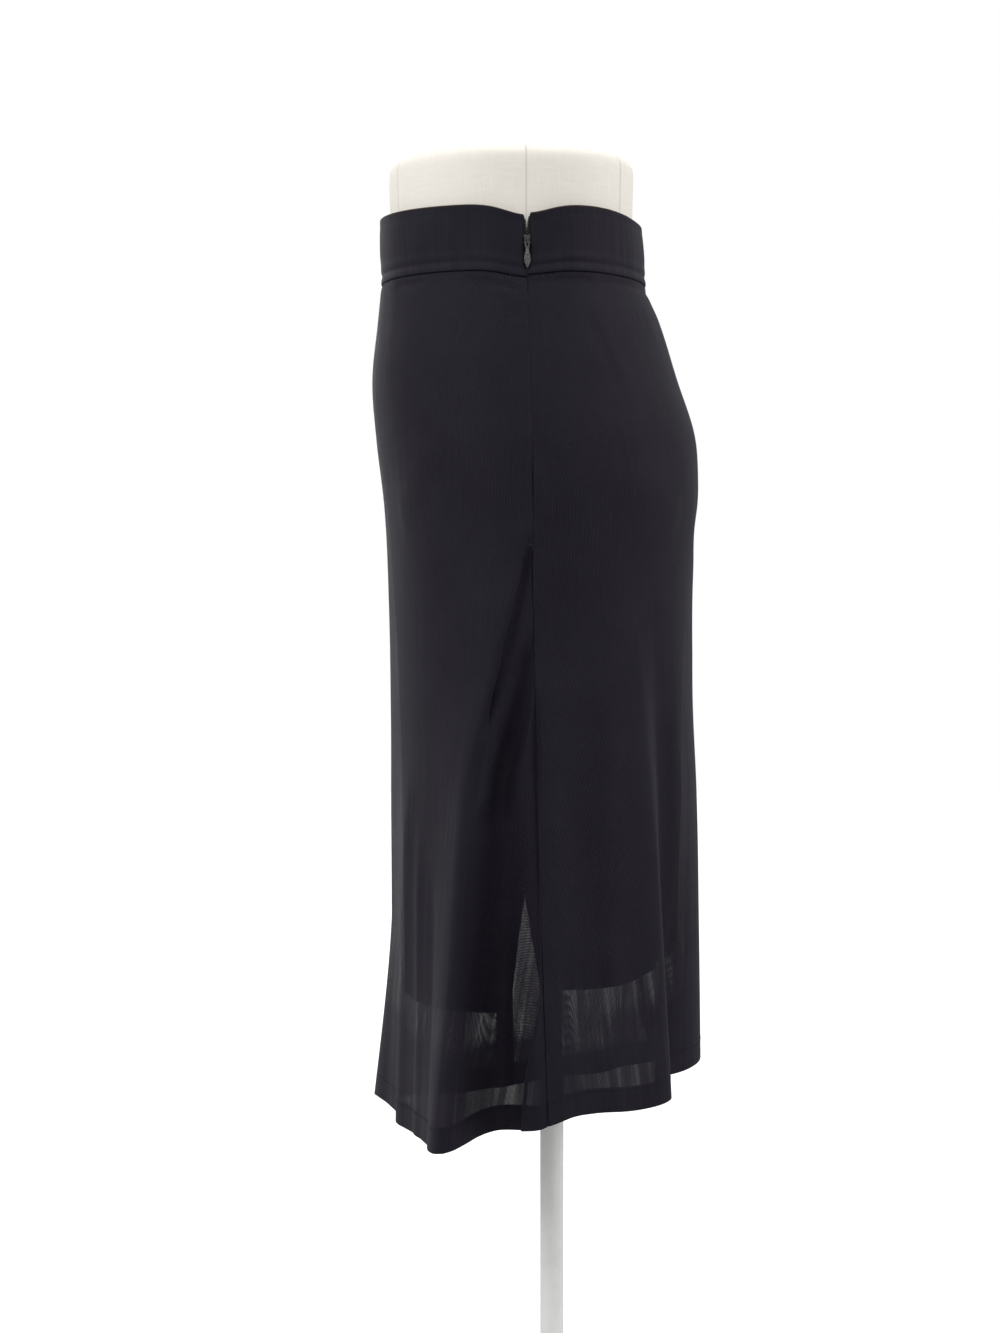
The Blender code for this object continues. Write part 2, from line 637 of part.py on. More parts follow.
def make_stand(finish, into):
    """A round foot with a hub, and the pole that stands in the hub's socket and carries the form."""
    socket_floor = FOOT_THICK
    bevel = 0.003
    profile = (
        (0, socket_floor),
        (POLE_RADIUS + POLE_FIT, socket_floor),
        (POLE_RADIUS + POLE_FIT, HUB_HEIGHT),
        (HUB_RADIUS - bevel, HUB_HEIGHT),
        (HUB_RADIUS, HUB_HEIGHT - bevel),
        (HUB_RADIUS, FOOT_THICK + bevel),
        (HUB_RADIUS + bevel, FOOT_THICK),
        (FOOT_RADIUS - bevel, FOOT_THICK),
        (FOOT_RADIUS, FOOT_THICK - bevel),
        (FOOT_RADIUS, 0),
        (0, 0),
    )
    turned("stand_foot", profile, finish, into)
    pole_bottom = socket_floor + POLE_FIT
    pole_top = form_underside() - FORM_GAP
    profile = (
        (0, pole_top),
        (POLE_RADIUS, pole_top),
        (POLE_RADIUS, pole_bottom),
        (0, pole_bottom),
    )
    turned("stand_pole", profile, finish, into, steps=24)


def main():
    clear_scene()
    skirt = collection("sheer_skirt")
    knit = material("black_knit", (0.012, 0.011, 0.013), 0.75)
    lining_cloth = material("black_lining", (0.010, 0.010, 0.012), 0.60)
    tape_cloth = material("zip_tape", (0.014, 0.013, 0.015), 0.80)
    dark_metal = material("zip_metal", (0.14, 0.14, 0.15), 0.40, 0.6)
    linen = material("form_linen", (0.80, 0.75, 0.66), 0.90)
    pale_paint = material("stand_paint", (0.82, 0.81, 0.79), 0.45)

    make_band("waistband_front", False, knit, skirt)
    make_band("waistband_back", True, knit, skirt)
    make_panel("skirt_front", False, knit, skirt)
    make_panel("skirt_back", True, knit, skirt)
    make_lining("lining_front", False, lining_cloth, skirt)
    make_lining("lining_back", True, lining_cloth, skirt)
    make_tape("zip_tape_front", False, tape_cloth, skirt)
    make_tape("zip_tape_back", True, tape_cloth, skirt)
    make_slider(dark_metal, skirt)
    make_pull(dark_metal, skirt)
    make_form(linen, skirt)
    make_stand(pale_paint, skirt)


main()
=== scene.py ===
# %% [markdown]
# # A sheer knit skirt on a skirt form
#
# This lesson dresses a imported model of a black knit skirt. The skirt hangs on a padded form that ends just
# above the waist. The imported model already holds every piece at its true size, so the first step only loads it.
# Everything after it adds what the eye expects of cloth: a knit you can see through, soft creases, stitches,
# linen and metal.

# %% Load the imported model
import math
from collections import namedtuple

import bmesh
import bpy
import numpy as np
from mathutils import Matrix, Vector


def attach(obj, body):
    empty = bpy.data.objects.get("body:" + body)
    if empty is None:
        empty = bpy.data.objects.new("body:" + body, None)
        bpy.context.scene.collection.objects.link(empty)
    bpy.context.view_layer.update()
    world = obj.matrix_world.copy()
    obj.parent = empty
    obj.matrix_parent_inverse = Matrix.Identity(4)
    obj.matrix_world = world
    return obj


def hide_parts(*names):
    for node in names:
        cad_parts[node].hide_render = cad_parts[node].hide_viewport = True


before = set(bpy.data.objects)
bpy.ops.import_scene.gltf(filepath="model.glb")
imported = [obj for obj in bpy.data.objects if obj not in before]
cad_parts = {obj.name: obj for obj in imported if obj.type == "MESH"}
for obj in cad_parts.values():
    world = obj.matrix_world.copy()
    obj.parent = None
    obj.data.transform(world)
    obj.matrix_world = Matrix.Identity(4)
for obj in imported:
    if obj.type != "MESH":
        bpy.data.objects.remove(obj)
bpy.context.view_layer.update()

# %% [markdown]
# ## The camera
#
# The photograph was taken from the wearer's left side, a little towards the front, from a bit above the
# middle of the skirt. A long lens keeps the skirt's outline true. The camera could be placed by eye, but its
# distance, height and lens were worked out from the zip's length and the waist, so numbers are used. It tilts
# down by one degree instead of shifting its lens, so that other views turn about the skirt cleanly.

# %% Place the camera
CAMERA_DISTANCE = 2.40
CAMERA_HEIGHT = 0.675
CAMERA_TURN = math.radians(5)  # from the side towards the front
CAMERA_TILT = math.radians(1.074)
CAMERA_ASIDE = 0.040
FOCAL_PIXELS, IMAGE_HEIGHT = 3120.0, 1333.0

towards_skirt = Vector((-math.cos(CAMERA_TURN), math.sin(CAMERA_TURN), 0))
sideways = Vector((math.sin(CAMERA_TURN), math.cos(CAMERA_TURN), 0))
camera_data = bpy.data.cameras.new("photo_camera")
camera_data.sensor_width = 36
camera_data.lens = FOCAL_PIXELS / IMAGE_HEIGHT * camera_data.sensor_width
camera = bpy.data.objects.new("photo_camera", camera_data)
camera.location = -CAMERA_DISTANCE * towards_skirt - CAMERA_ASIDE * sideways + Vector((0, 0, CAMERA_HEIGHT))
aim = towards_skirt * math.cos(CAMERA_TILT) - Vector((0, 0, math.sin(CAMERA_TILT)))
camera.rotation_euler = aim.to_track_quat("-Z", "Y").to_euler()
bpy.context.scene.collection.objects.link(camera)
bpy.context.scene.camera = camera
print("camera at", [round(v, 3) for v in camera.location], "lens", round(camera_data.lens, 1), "mm")

# %% [markdown]
# ## The studio
#
# A skirt like this is photographed in front of white, under big soft lamps. White light from all round gives
# black cloth its pale edges, because a knit's fine fibres catch light that grazes them. A sky texture would
# tint the cloth, so the world's light here has no colour. It is weaker from below than from above, and the camera
# itself sees plain white. Three large lamps with narrowed beams shape the folds. The colours are shown with the
# Standard view, which keeps white paper white.

# %% Light the room
scene = bpy.context.scene
scene.view_settings.view_transform = "Standard"
world = bpy.data.worlds.new("white_room")
world.use_nodes = True
room = world.node_tree.nodes["Background"]
room.inputs["Color"].default_value = (1, 1, 1, 1)
LIGHT_BELOW, LIGHT_ABOVE, PAPER_WHITE = 0.38, 0.92, 1.0
direction = world.node_tree.nodes.new("ShaderNodeTexCoord")
upward = world.node_tree.nodes.new("ShaderNodeSeparateXYZ")
world.node_tree.links.new(direction.outputs["Generated"], upward.inputs["Vector"])
room_light = world.node_tree.nodes.new("ShaderNodeMapRange")
for label, value in (("From Min", -0.3), ("From Max", 0.6), ("To Min", LIGHT_BELOW), ("To Max", LIGHT_ABOVE)):
    room_light.inputs[label].default_value = value
world.node_tree.links.new(upward.outputs["Z"], room_light.inputs["Value"])
whose_ray = world.node_tree.nodes.new("ShaderNodeLightPath")
brightness = world.node_tree.nodes.new("ShaderNodeMapRange")
brightness.inputs["To Max"].default_value = PAPER_WHITE
world.node_tree.links.new(room_light.outputs["Result"], brightness.inputs["To Min"])
world.node_tree.links.new(whose_ray.outputs["Is Camera Ray"], brightness.inputs["Value"])
world.node_tree.links.new(brightness.outputs["Result"], room.inputs["Strength"])
scene.world = world

Lamp = namedtuple("Lamp", "name place size power")
LAMPS = (
    Lamp("front_softbox", (0.9, -2.0, 2.2), 1.2, 2.6),
    Lamp("back_softbox", (0.5, 2.3, 2.0), 1.2, 2.4),
    Lamp("far_softbox", (-2.3, -0.5, 1.6), 1.8, 2.0),
)
LIT_PLACE = Vector((0, 0, 0.95))
BEAM = math.radians(50)
for lamp in LAMPS:
    data = bpy.data.lights.new(lamp.name, "AREA")
    data.size = lamp.size
    data.energy = lamp.power
    data.spread = BEAM
    light = bpy.data.objects.new(lamp.name, data)
    light.location = lamp.place
    light.rotation_euler = (LIT_PLACE - light.location).to_track_quat("-Z", "Y").to_euler()
    scene.collection.objects.link(light)
print("lamps:", len(LAMPS))

# %% [markdown]
# A plain pale floor carries the stand's foot. It is one round sheet of white paper, wide enough that its rim is
# lost in the white room. The camera sees it white, but to all other rays it is grey, so that it doesn't light the
# hem from below. Staged pieces aren't part of the object.

# %% Lay the floor
FLOOR_RADIUS = 9.0
floor_bm = bmesh.new()
bmesh.ops.create_circle(floor_bm, cap_ends=True, segments=96, radius=FLOOR_RADIUS)
floor_mesh = bpy.data.meshes.new("pale_floor")
floor_bm.to_mesh(floor_mesh)
floor_bm.free()
floor = bpy.data.objects.new("pale_floor", floor_mesh)
scene.collection.objects.link(floor)
floor_paper = bpy.data.materials.new("white_paper")
floor_paper.use_nodes = True
floor_shader = floor_paper.node_tree.nodes["Principled BSDF"]
floor_shader.inputs["Roughness"].default_value = 0.9
floor_shader.inputs["Specular IOR Level"].default_value = 0.1
floor_shader.inputs["Emission Color"].default_value = (1, 1, 1, 1)
FLOOR_SEEN, FLOOR_LIGHTING = ((0.97, 0.97, 0.97, 1), 0.45), ((0.45, 0.45, 0.45, 1), 0.0)
seen = floor_paper.node_tree.nodes.new("ShaderNodeLightPath").outputs["Is Camera Ray"]
paper = floor_paper.node_tree.nodes.new("ShaderNodeMix")
paper.data_type = "RGBA"
paper.inputs["A"].default_value, paper.inputs["B"].default_value = FLOOR_LIGHTING[0], FLOOR_SEEN[0]
glow = floor_paper.node_tree.nodes.new("ShaderNodeMapRange")
glow.inputs["To Min"].default_value, glow.inputs["To Max"].default_value = FLOOR_LIGHTING[1], FLOOR_SEEN[1]
floor_paper.node_tree.links.new(seen, paper.inputs["Factor"])
floor_paper.node_tree.links.new(seen, glow.inputs["Value"])
floor_paper.node_tree.links.new(paper.outputs["Result"], floor_shader.inputs["Base Color"])
floor_paper.node_tree.links.new(glow.outputs["Result"], floor_shader.inputs["Emission Strength"])
floor_mesh.materials.append(floor_paper)
print("floor:", FLOOR_RADIUS * 2, "m across")

# %% [markdown]
# ## Small helpers for materials
#
# Blender's materials are graphs of nodes. Making a node by hand takes several lines each time, so two helpers
# do it: one adds a node and fills its sockets, the other starts a node group with named sockets. A group is the
# right home for an effect that several finishes share, such as knit or linen, because each material can then
# give it its own values.

# %% Helpers for nodes
def add_node(tree, kind, operation=None, **sockets):
    """A node with its sockets set to values or linked from other nodes' outputs; _0 names a socket by number."""
    node = tree.nodes.new(kind)
    if operation:
        node.operation = operation
    for name, value in sockets.items():
        socket = node.inputs[int(name[1:])] if name[1:].isdigit() else node.inputs[name.replace("_", " ")]
        if isinstance(value, bpy.types.NodeSocket):
            tree.links.new(value, socket)
        else:
            socket.default_value = value
    return node


def maths(tree, operation, *values):
    """The output of a Math node."""
    node = add_node(tree, "ShaderNodeMath", operation, **{f"_{i}": v for i, v in enumerate(values)})
    return node.outputs[0]


def blended(tree, share, first, second):
    """A colour between two others."""
    node = tree.nodes.new("ShaderNodeMix")
    node.data_type = "RGBA"
    for socket, value in ((node.inputs["Factor"], share), (node.inputs["A"], first), (node.inputs["B"], second)):
        if isinstance(value, bpy.types.NodeSocket):
            tree.links.new(value, socket)
        else:
            socket.default_value = value
    return node.outputs["Result"]


def ranged(tree, value, low, high, to_low, to_high):
    """A value carried from one range into another, and kept inside it."""
    node = add_node(tree, "ShaderNodeMapRange", Value=value)
    for name, number in (("From Min", low), ("From Max", high), ("To Min", to_low), ("To Max", to_high)):
        if isinstance(number, bpy.types.NodeSocket):
            tree.links.new(number, node.inputs[name])
        else:
            node.inputs[name].default_value = number
    return node.outputs["Result"]


def start_group(name, takes, gives):
    """A node group with named inputs and outputs: (tree, its inputs, its output node)."""
    group = bpy.data.node_groups.new(name, "ShaderNodeTree")
    for label, kind, value in takes:
        socket = group.interface.new_socket(label, in_out="INPUT", socket_type=kind)
        socket.default_value = value
    for label, kind in gives:
        group.interface.new_socket(label, in_out="OUTPUT", socket_type=kind)
    return group, group.nodes.new("NodeGroupInput").outputs, group.nodes.new("NodeGroupOutput").inputs


def start_material(name, roughness, metallic=0.0, **constants):
    """A material with its Principled shader: (material, tree, shader)."""
    material = bpy.data.materials.new(name)
    material.use_nodes = True
    shader = material.node_tree.nodes["Principled BSDF"]
    shader.inputs["Roughness"].default_value = roughness
    shader.inputs["Metallic"].default_value = metallic
    for label, value in constants.items():
        shader.inputs[label.replace("_", " ")].default_value = value
    return material, material.node_tree, shader


def place_group(tree, group, **values):
    node = tree.nodes.new("ShaderNodeGroup")
    node.node_tree = group
    for label, value in values.items():
        socket = node.inputs[label.replace("_", " ")]
        if isinstance(value, bpy.types.NodeSocket):
            tree.links.new(value, socket)
        else:
            socket.default_value = value
    return node, node.outputs


def bump(tree, shader, height, distance, strength=1.0):
    node = add_node(tree, "ShaderNodeBump", Height=height, Distance=distance, Strength=strength)
    tree.links.new(node.outputs["Normal"], shader.inputs["Normal"])


FLOAT, COLOUR, VECTOR = "NodeSocketFloat", "NodeSocketColor", "NodeSocketVector"
print("material helpers ready")

# %% [markdown]
# ## The knit
#
# The skirt is a very fine jersey. Its stitches stand in columns, called wales, and between them there is only
# air, so light passes. A stitch is well under a millimetre across, far too small to model, so a pattern in the
# material makes it: cosine waves across the cloth for the wales and along it for the stitches. The pattern reads
# the cloth's own map, laid out in metres, so it follows every fold. It gives a colour, a height for the bump,
# and how much of the light the yarn stops.

# %% The knit pattern
FAR_OPENNESS = -0.9  # the bunching's value where the cloth is stretched open instead
knit_group, takes, gives = start_group(
    "Fine jersey",
    (
        ("Cloth", VECTOR, (0, 0, 0)),
        ("Wale Width", FLOAT, 0.0009),
        ("Stitch Height", FLOAT, 0.0007),
        ("Yarn", COLOUR, (0.02, 0.02, 0.02, 1)),
        ("Worn Yarn", COLOUR, (0.03, 0.03, 0.03, 1)),
        ("Open", FLOAT, 0.5),
        ("Closed", FLOAT, 1.0),
        ("Tight Below", FLOAT, -9.0),
        ("Tightness", FLOAT, 0.0),
        ("Bunching", FLOAT, 0.0),
    ),
    (("Colour", COLOUR), ("Cover", FLOAT), ("Height", FLOAT), ("Roughness", FLOAT)),
)
t = knit_group
place = add_node(t, "ShaderNodeSeparateXYZ", Vector=takes["Cloth"])
wale_turns = maths(t, "DIVIDE", place.outputs["X"], takes["Wale Width"])
stitch_turns = maths(t, "DIVIDE", place.outputs["Y"], takes["Stitch Height"])
streaks = add_node(t, "ShaderNodeMapping", Vector=takes["Cloth"], Scale=(300, 9, 1))
streak = add_node(t, "ShaderNodeTexNoise", Vector=streaks.outputs[0], Scale=1.0, Detail=3.0, Roughness=0.6)
blotch = add_node(t, "ShaderNodeTexNoise", Vector=takes["Cloth"], Scale=22.0, Detail=4.0, Roughness=0.6)
wavering = maths(t, "ADD", wale_turns, maths(t, "MULTIPLY", blotch.outputs["Fac"], 0.8))
wale = maths(t, "COSINE", maths(t, "MULTIPLY", wavering, 2 * math.pi))
stitch = maths(t, "COSINE", maths(t, "MULTIPLY", stitch_turns, 2 * math.pi))
weight = maths(t, "ADD", maths(t, "MULTIPLY", wale, 0.42), maths(t, "MULTIPLY", stitch, 0.16))
weight = maths(t, "ADD", weight, maths(t, "SUBTRACT", maths(t, "MULTIPLY", streak.outputs["Fac"], 0.9), 0.45))
yarn_here = ranged(t, weight, -0.50, 0.50, 0.0, 1.0)
drawn_tight = ranged(
    t,
    place.outputs["Y"],
    maths(t, "ADD", takes["Tight Below"], -0.006),
    maths(t, "ADD", takes["Tight Below"], 0.006),
    takes["Tightness"],
    0.0,
)
drawn_tight = maths(t, "MULTIPLY", drawn_tight, ranged(t, takes["Bunching"], FAR_OPENNESS, 0.0, 0.0, 1.0))
hole = maths(t, "POWER", maths(t, "SUBTRACT", 1.0, yarn_here), 1.8)
hole = maths(t, "MULTIPLY", hole, maths(t, "SUBTRACT", 1.0, drawn_tight))
hole = maths(t, "MULTIPLY", hole, maths(t, "SUBTRACT", 1.0, maths(t, "MULTIPLY", takes["Bunching"], 0.8)))
ladders = add_node(t, "ShaderNodeMapping", Vector=takes["Cloth"], Scale=(130, 7, 1))
ladder = add_node(t, "ShaderNodeTexNoise", Vector=ladders.outputs[0], Scale=1.0, Detail=2.0, Roughness=0.55)
run = ranged(t, ladder.outputs["Fac"], 0.52, 0.70, -0.35, 1.5)
below_lining = ranged(t, place.outputs["Y"], -0.53, -0.50, 1.0, 0.0)
hole = maths(t, "MULTIPLY", hole, maths(t, "ADD", 1.0, maths(t, "MULTIPLY", run, below_lining)))
t.links.new(ranged(t, hole, 0.0, 1.0, takes["Closed"], takes["Open"]), gives["Cover"])
t.links.new(yarn_here, gives["Height"])
worn = ranged(t, blotch.outputs["Fac"], 0.35, 0.7, 0.0, 1.0)
t.links.new(blended(t, worn, takes["Yarn"], takes["Worn Yarn"]), gives["Colour"])
t.links.new(ranged(t, streak.outputs["Fac"], 0.3, 0.7, 0.62, 0.80), gives["Roughness"])
print("group:", knit_group.name, "with", len(knit_group.nodes), "nodes")

# %% [markdown]
# ## Linen
#
# The form is covered in a plain cream linen. Plain weave goes over and under, which a product of two sine waves
# copies well, and linen's charm is its slubs, the places where the yarn is thicker. A stretched noise brings
# them, one for each direction of thread.

# %% The linen pattern
linen_group, takes, gives = start_group(
    "Plain linen",
    (
        ("Cloth", VECTOR, (0, 0, 0)),
        ("Thread", FLOAT, 0.0007),
        ("Light Thread", COLOUR, (0.8, 0.75, 0.66, 1)),
        ("Dark Thread", COLOUR, (0.7, 0.64, 0.54, 1)),
    ),
    (("Colour", COLOUR), ("Height", FLOAT), ("Roughness", FLOAT)),
)
t = linen_group
place = add_node(t, "ShaderNodeSeparateXYZ", Vector=takes["Cloth"])
turn = [maths(t, "DIVIDE", place.outputs[axis], takes["Thread"]) for axis in ("X", "Y")]
wave = [maths(t, "SINE", maths(t, "MULTIPLY", turns, math.pi)) for turns in turn]
over_under = maths(t, "MULTIPLY", *wave)
slubs = []
for scale in ((40, 900, 1), (900, 40, 1)):
    stretched = add_node(t, "ShaderNodeMapping", Vector=takes["Cloth"], Scale=scale)
    slub = add_node(t, "ShaderNodeTexNoise", Vector=stretched.outputs[0], Scale=1.0, Detail=2.0, Roughness=0.5)
    slubs.append(slub.outputs["Fac"])
slub = maths(t, "MAXIMUM", *slubs)
t.links.new(maths(t, "ADD", maths(t, "MULTIPLY", over_under, 0.5), slub), gives["Height"])
tone = ranged(t, maths(t, "ADD", maths(t, "MULTIPLY", over_under, 0.12), slub), 0.40, 0.78, 0.0, 1.0)
t.links.new(blended(t, tone, takes["Dark Thread"], takes["Light Thread"]), gives["Colour"])
t.links.new(ranged(t, slub, 0.4, 0.7, 0.95, 0.80), gives["Roughness"])
print("group:", linen_group.name, "with", len(linen_group.nodes), "nodes")

# %% [markdown]
# ## Handling marks
#
# Paint and metal look plastic when they are perfectly even. Faint clouds of wear and a few fine scratches are
# enough. Both finishes use them, so they are a group too. It works in the object's own coordinates, which here
# are metres in the room.

# %% The wear pattern
wear_group, takes, gives = start_group(
    "Handled surface",
    (
        ("Grain Size", FLOAT, 0.01),
        ("Clean", COLOUR, (0.8, 0.8, 0.8, 1)),
        ("Dull", COLOUR, (0.7, 0.7, 0.7, 1)),
        ("Smooth", FLOAT, 0.3),
        ("Rough", FLOAT, 0.5),
    ),
    (("Colour", COLOUR), ("Height", FLOAT), ("Roughness", FLOAT)),
)
t = wear_group
where = t.nodes.new("ShaderNodeTexCoord").outputs["Object"]
frequency = maths(t, "DIVIDE", 1.0, takes["Grain Size"])
cloud = add_node(t, "ShaderNodeTexNoise", Vector=where, Scale=frequency, Detail=5.0, Roughness=0.65)
fine = add_node(t, "ShaderNodeTexNoise", Vector=where, Scale=maths(t, "MULTIPLY", frequency, 9.0), Detail=2.0)
dulled = ranged(t, cloud.outputs["Fac"], 0.42, 0.66, 0.0, 1.0)
t.links.new(blended(t, dulled, takes["Clean"], takes["Dull"]), gives["Colour"])
t.links.new(ranged(t, dulled, 0.0, 1.0, takes["Smooth"], takes["Rough"]), gives["Roughness"])
t.links.new(maths(t, "ADD", fine.outputs["Fac"], maths(t, "MULTIPLY", cloud.outputs["Fac"], 0.4)), gives["Height"])
print("group:", wear_group.name, "with", len(wear_group.nodes), "nodes")

# %% [markdown]
# ## The skirt's materials
#
# One black knit serves the whole skirt, with three weights. The panels are one sheer layer, the waistband is
# faced and stops all light, and the lining is a smoother, tighter jersey. The sheer one drives Alpha from the
# pattern's cover, which is how a renderer and a game engine both let light through small holes. Sheen is what
# gives jersey its soft pale edge, and it is a constant, so it is set on the shader itself.

# %% Make the knit materials
CLOTH_MAP = "cloth_in_metres"
BUNCHING = "bunching"


KNIT_SHINE = 0.14  # yarn is fuzzy, so it mirrors far less than paint of the same colour


# Painted highlight: a pale brown band of colour along the waistband's folded top edge, standing in for light caught
# by the fold.
FOLD_HIGHLIGHT_PAINT = (0.060, 0.042, 0.024, 1)
FOLD_HIGHLIGHT_WIDTH = 0.0013


def knit_material(name, yarn, worn, wale, opening, sheen, see_through, painted_fold_highlight=False):
    material, tree, shader = start_material(
        name,
        0.7,
        Sheen_Weight=sheen,
        Sheen_Roughness=0.35,
        Sheen_Tint=(0.86, 0.84, 0.94, 1),
        Specular_IOR_Level=KNIT_SHINE,
    )
    layout = tree.nodes.new("ShaderNodeUVMap")
    layout.uv_map = CLOTH_MAP
    knit_node, knit = place_group(
        tree,
        knit_group,
        Cloth=layout.outputs["UV"],
        Wale_Width=wale,
        Stitch_Height=wale * 0.8,
        Yarn=(*yarn, 1),
        Worn_Yarn=(*worn, 1),
        Open=opening,
        Closed=1.0,
        Tight_Below=-0.568,
        Tightness=0.88 if see_through else 0.0,
    )
    colour = knit["Colour"]
    # Paints the highlight of the folded top edge into the colour, over the cloth's top 1.3 mm.
    if painted_fold_highlight:
        down = add_node(tree, "ShaderNodeSeparateXYZ", Vector=layout.outputs["UV"]).outputs["Y"]
        colour = blended(tree, ranged(tree, down, -FOLD_HIGHLIGHT_WIDTH, 0.0, 0.0, 1.0), colour, FOLD_HIGHLIGHT_PAINT)
    tree.links.new(colour, shader.inputs["Base Color"])
    tree.links.new(knit["Roughness"], shader.inputs["Roughness"])
    if see_through:
        bunched = tree.nodes.new("ShaderNodeAttribute")
        bunched.attribute_name = BUNCHING
        tree.links.new(bunched.outputs["Fac"], knit_node.inputs["Bunching"])
        tree.links.new(knit["Cover"], shader.inputs["Alpha"])
    bump(tree, shader, knit["Height"], 0.00012, 0.5)
    return material


YARN, WORN_YARN = (0.0112, 0.0092, 0.0166), (0.0142, 0.0120, 0.0202)
LINING_YARN, WORN_LINING = (0.0090, 0.0083, 0.0124), (0.0114, 0.0106, 0.0152)
sheer_knit = knit_material("sheer_knit", YARN, WORN_YARN, 0.0011, 0.65, 0.050, True)
# The waistband's knit carries the painted highlight along its folded top edge.
band_knit = knit_material("band_knit", YARN, WORN_YARN, 0.0011, 1.0, 0.060, False, painted_fold_highlight=True)
hidden_knit = knit_material("hidden_knit", YARN, WORN_YARN, 0.0011, 1.0, 0.060, False)
lining_knit = knit_material("lining_knit", LINING_YARN, WORN_LINING, 0.0008, 1.0, 0.03, False)
for made in (sheer_knit, band_knit, hidden_knit, lining_knit):
    print("material:", made.name)

# %% [markdown]
# ## How worn cloth finds its shape
#
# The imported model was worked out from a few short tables: sections, which give the girth at each distance below
# the waist, and folds, which push the cloth out or in. The fine cloth has to lie on the same form, so the same
# tables are used again here. A place on the cloth is given by how far below the waist it is and by degrees of
# girth, with 0 at the zip, 90 at the centre back and 270 at the centre front.

# %% Sizes and sections
WAIST_HEIGHT = 0.9695
BAND_WIDTH = 0.048
HEM_DROP = 0.654
HIP_DROP = 0.200
CREST_SAG = 0.10
HEM_WIDTH = 0.017
ZIP_DROP = 0.236
TAPE_HALF = 0.012
TAPE_TAIL = 0.014
DIP_FRONT = (0.0080, 0.0053)
DIP_BACK = (0.0065, 0.0036)
DIP_REACH = 0.022
DIP_END_DROP = 0.120
SLIT_DROP = 0.498
SLIT_HALF = 0.011
LINING_SWING = 13
BAND_CLOTH = 0.0020
SEAM_GAP = 0.0003
POLE_BEHIND = 0.009

Section = namedtuple("Section", "drop half_width front back seam_y square_front square_back")
SKIRT_SECTIONS = (
    Section(0.000, 0.1218, 0.1230, 0.0768, -0.0220, 2.10, 2.05),
    Section(0.024, 0.1216, 0.1230, 0.0789, -0.0220, 2.10, 2.05),
    Section(0.046, 0.1226, 0.1215, 0.0795, -0.0220, 2.10, 2.05),
    Section(0.052, 0.1236, 0.1222, 0.0805, -0.0220, 2.10, 2.05),
    Section(0.075, 0.1335, 0.1245, 0.0895, -0.0220, 2.10, 2.05),
    Section(0.120, 0.1510, 0.1288, 0.1035, -0.0220, 2.12, 2.05),
    Section(0.166, 0.1640, 0.1255, 0.1178, -0.0220, 2.15, 2.05),
    Section(0.215, 0.1720, 0.1195, 0.1188, -0.0220, 2.20, 2.05),
    Section(0.290, 0.1800, 0.1157, 0.1152, -0.0220, 2.25, 2.05),
    Section(0.370, 0.1880, 0.1142, 0.1155, -0.0215, 2.30, 2.05),
    Section(0.450, 0.1955, 0.1142, 0.1182, -0.0205, 2.35, 2.05),
    Section(0.550, 0.2040, 0.1140, 0.1178, -0.0190, 2.40, 2.05),
    Section(0.654, 0.2120, 0.1160, 0.1165, -0.0170, 2.40, 2.05),
)
Hang = namedtuple("Hang", "drop side front back seam")
LINING_HANG = (
    Hang(0.050, 0.0022, 0.0022, 0.0022, 0.000),
    Hang(0.130, 0.0022, 0.0022, 0.0022, 0.000),
    Hang(0.215, 0.0022, 0.0022, 0.0022, 0.000),
    Hang(0.290, 0.0060, 0.0045, 0.0050, 0.000),
    Hang(0.400, 0.0180, 0.0090, 0.0105, 0.005),
    Hang(0.500, 0.0270, 0.0115, 0.0145, 0.009),
    Hang(0.572, 0.0340, 0.0135, 0.0165, 0.009),
)
print("sections:", len(SKIRT_SECTIONS), "lining rows:", len(LINING_HANG))

# %% The large folds and the hem's fall
Fold = namedtuple("Fold", "name starts_at hem_at depth before after starts power aim")
FOLDS = (
    Fold("front_side_flute", -2, -18, 0.046, 15, 5, 0.232, 0.9, -36),
    Fold("side_valley", -4, -9, -0.029, 6, 4, 0.290, 0.9, 5),
    Fold("back_side_edge", 0, -1, 0.015, 3, 11, 0.290, 0.9, 0),
    Fold("back_left_edge", 28, 34, 0.010, 10, 4, 0.300, 0.7, None),
    Fold("back_left_valley", 38, 44, -0.016, 5, 8, 0.300, 0.8, None),
    Fold("back_left_flute", 62, 64, 0.006, 9, 10, 0.360, 1.0, None),
    Fold("back_middle_valley", 85, 88, -0.010, 12, 12, 0.340, 1.0, None),
    Fold("back_right_flute", 112, 115, 0.024, 14, 10, 0.380, 1.3, None),
    Fold("back_right_valley", 140, 136, -0.012, 9, 9, 0.330, 1.0, None),
    Fold("far_back_flute", 172, 160, 0.026, 7, 12, 0.240, 0.9, 165),
    Fold("far_side_valley", 182, 178, -0.020, 7, 6, 0.290, 1.0, 180),
    Fold("far_front_flute", 184, 199, 0.036, 6, 14, 0.236, 0.9, 212),
    Fold("front_right_valley", 232, 226, -0.008, 12, 12, 0.350, 1.0, None),
    Fold("front_right_flute", 246, 250, 0.012, 14, 18, 0.520, 1.2, None),
    Fold("front_middle_valley", 280, 278, -0.006, 14, 14, 0.360, 1.0, None),
    Fold("front_left_flute", 305, 304, 0.005, 14, 12, 0.380, 1.0, None),
)
DRIFT = 0.7
WaistStop = namedtuple("WaistStop", "girth lower")
WAIST_FALL = (
    WaistStop(0, 0.0000),
    WaistStop(36, 0.0000),
    WaistStop(48, 0.0020),
    WaistStop(60, 0.0042),
    WaistStop(90, 0.0050),
    WaistStop(120, 0.0030),
    WaistStop(150, 0.0000),
    WaistStop(360, 0.0000),
)
WAIST_FALL_END = 0.100
HemStop = namedtuple("HemStop", "girth lower")
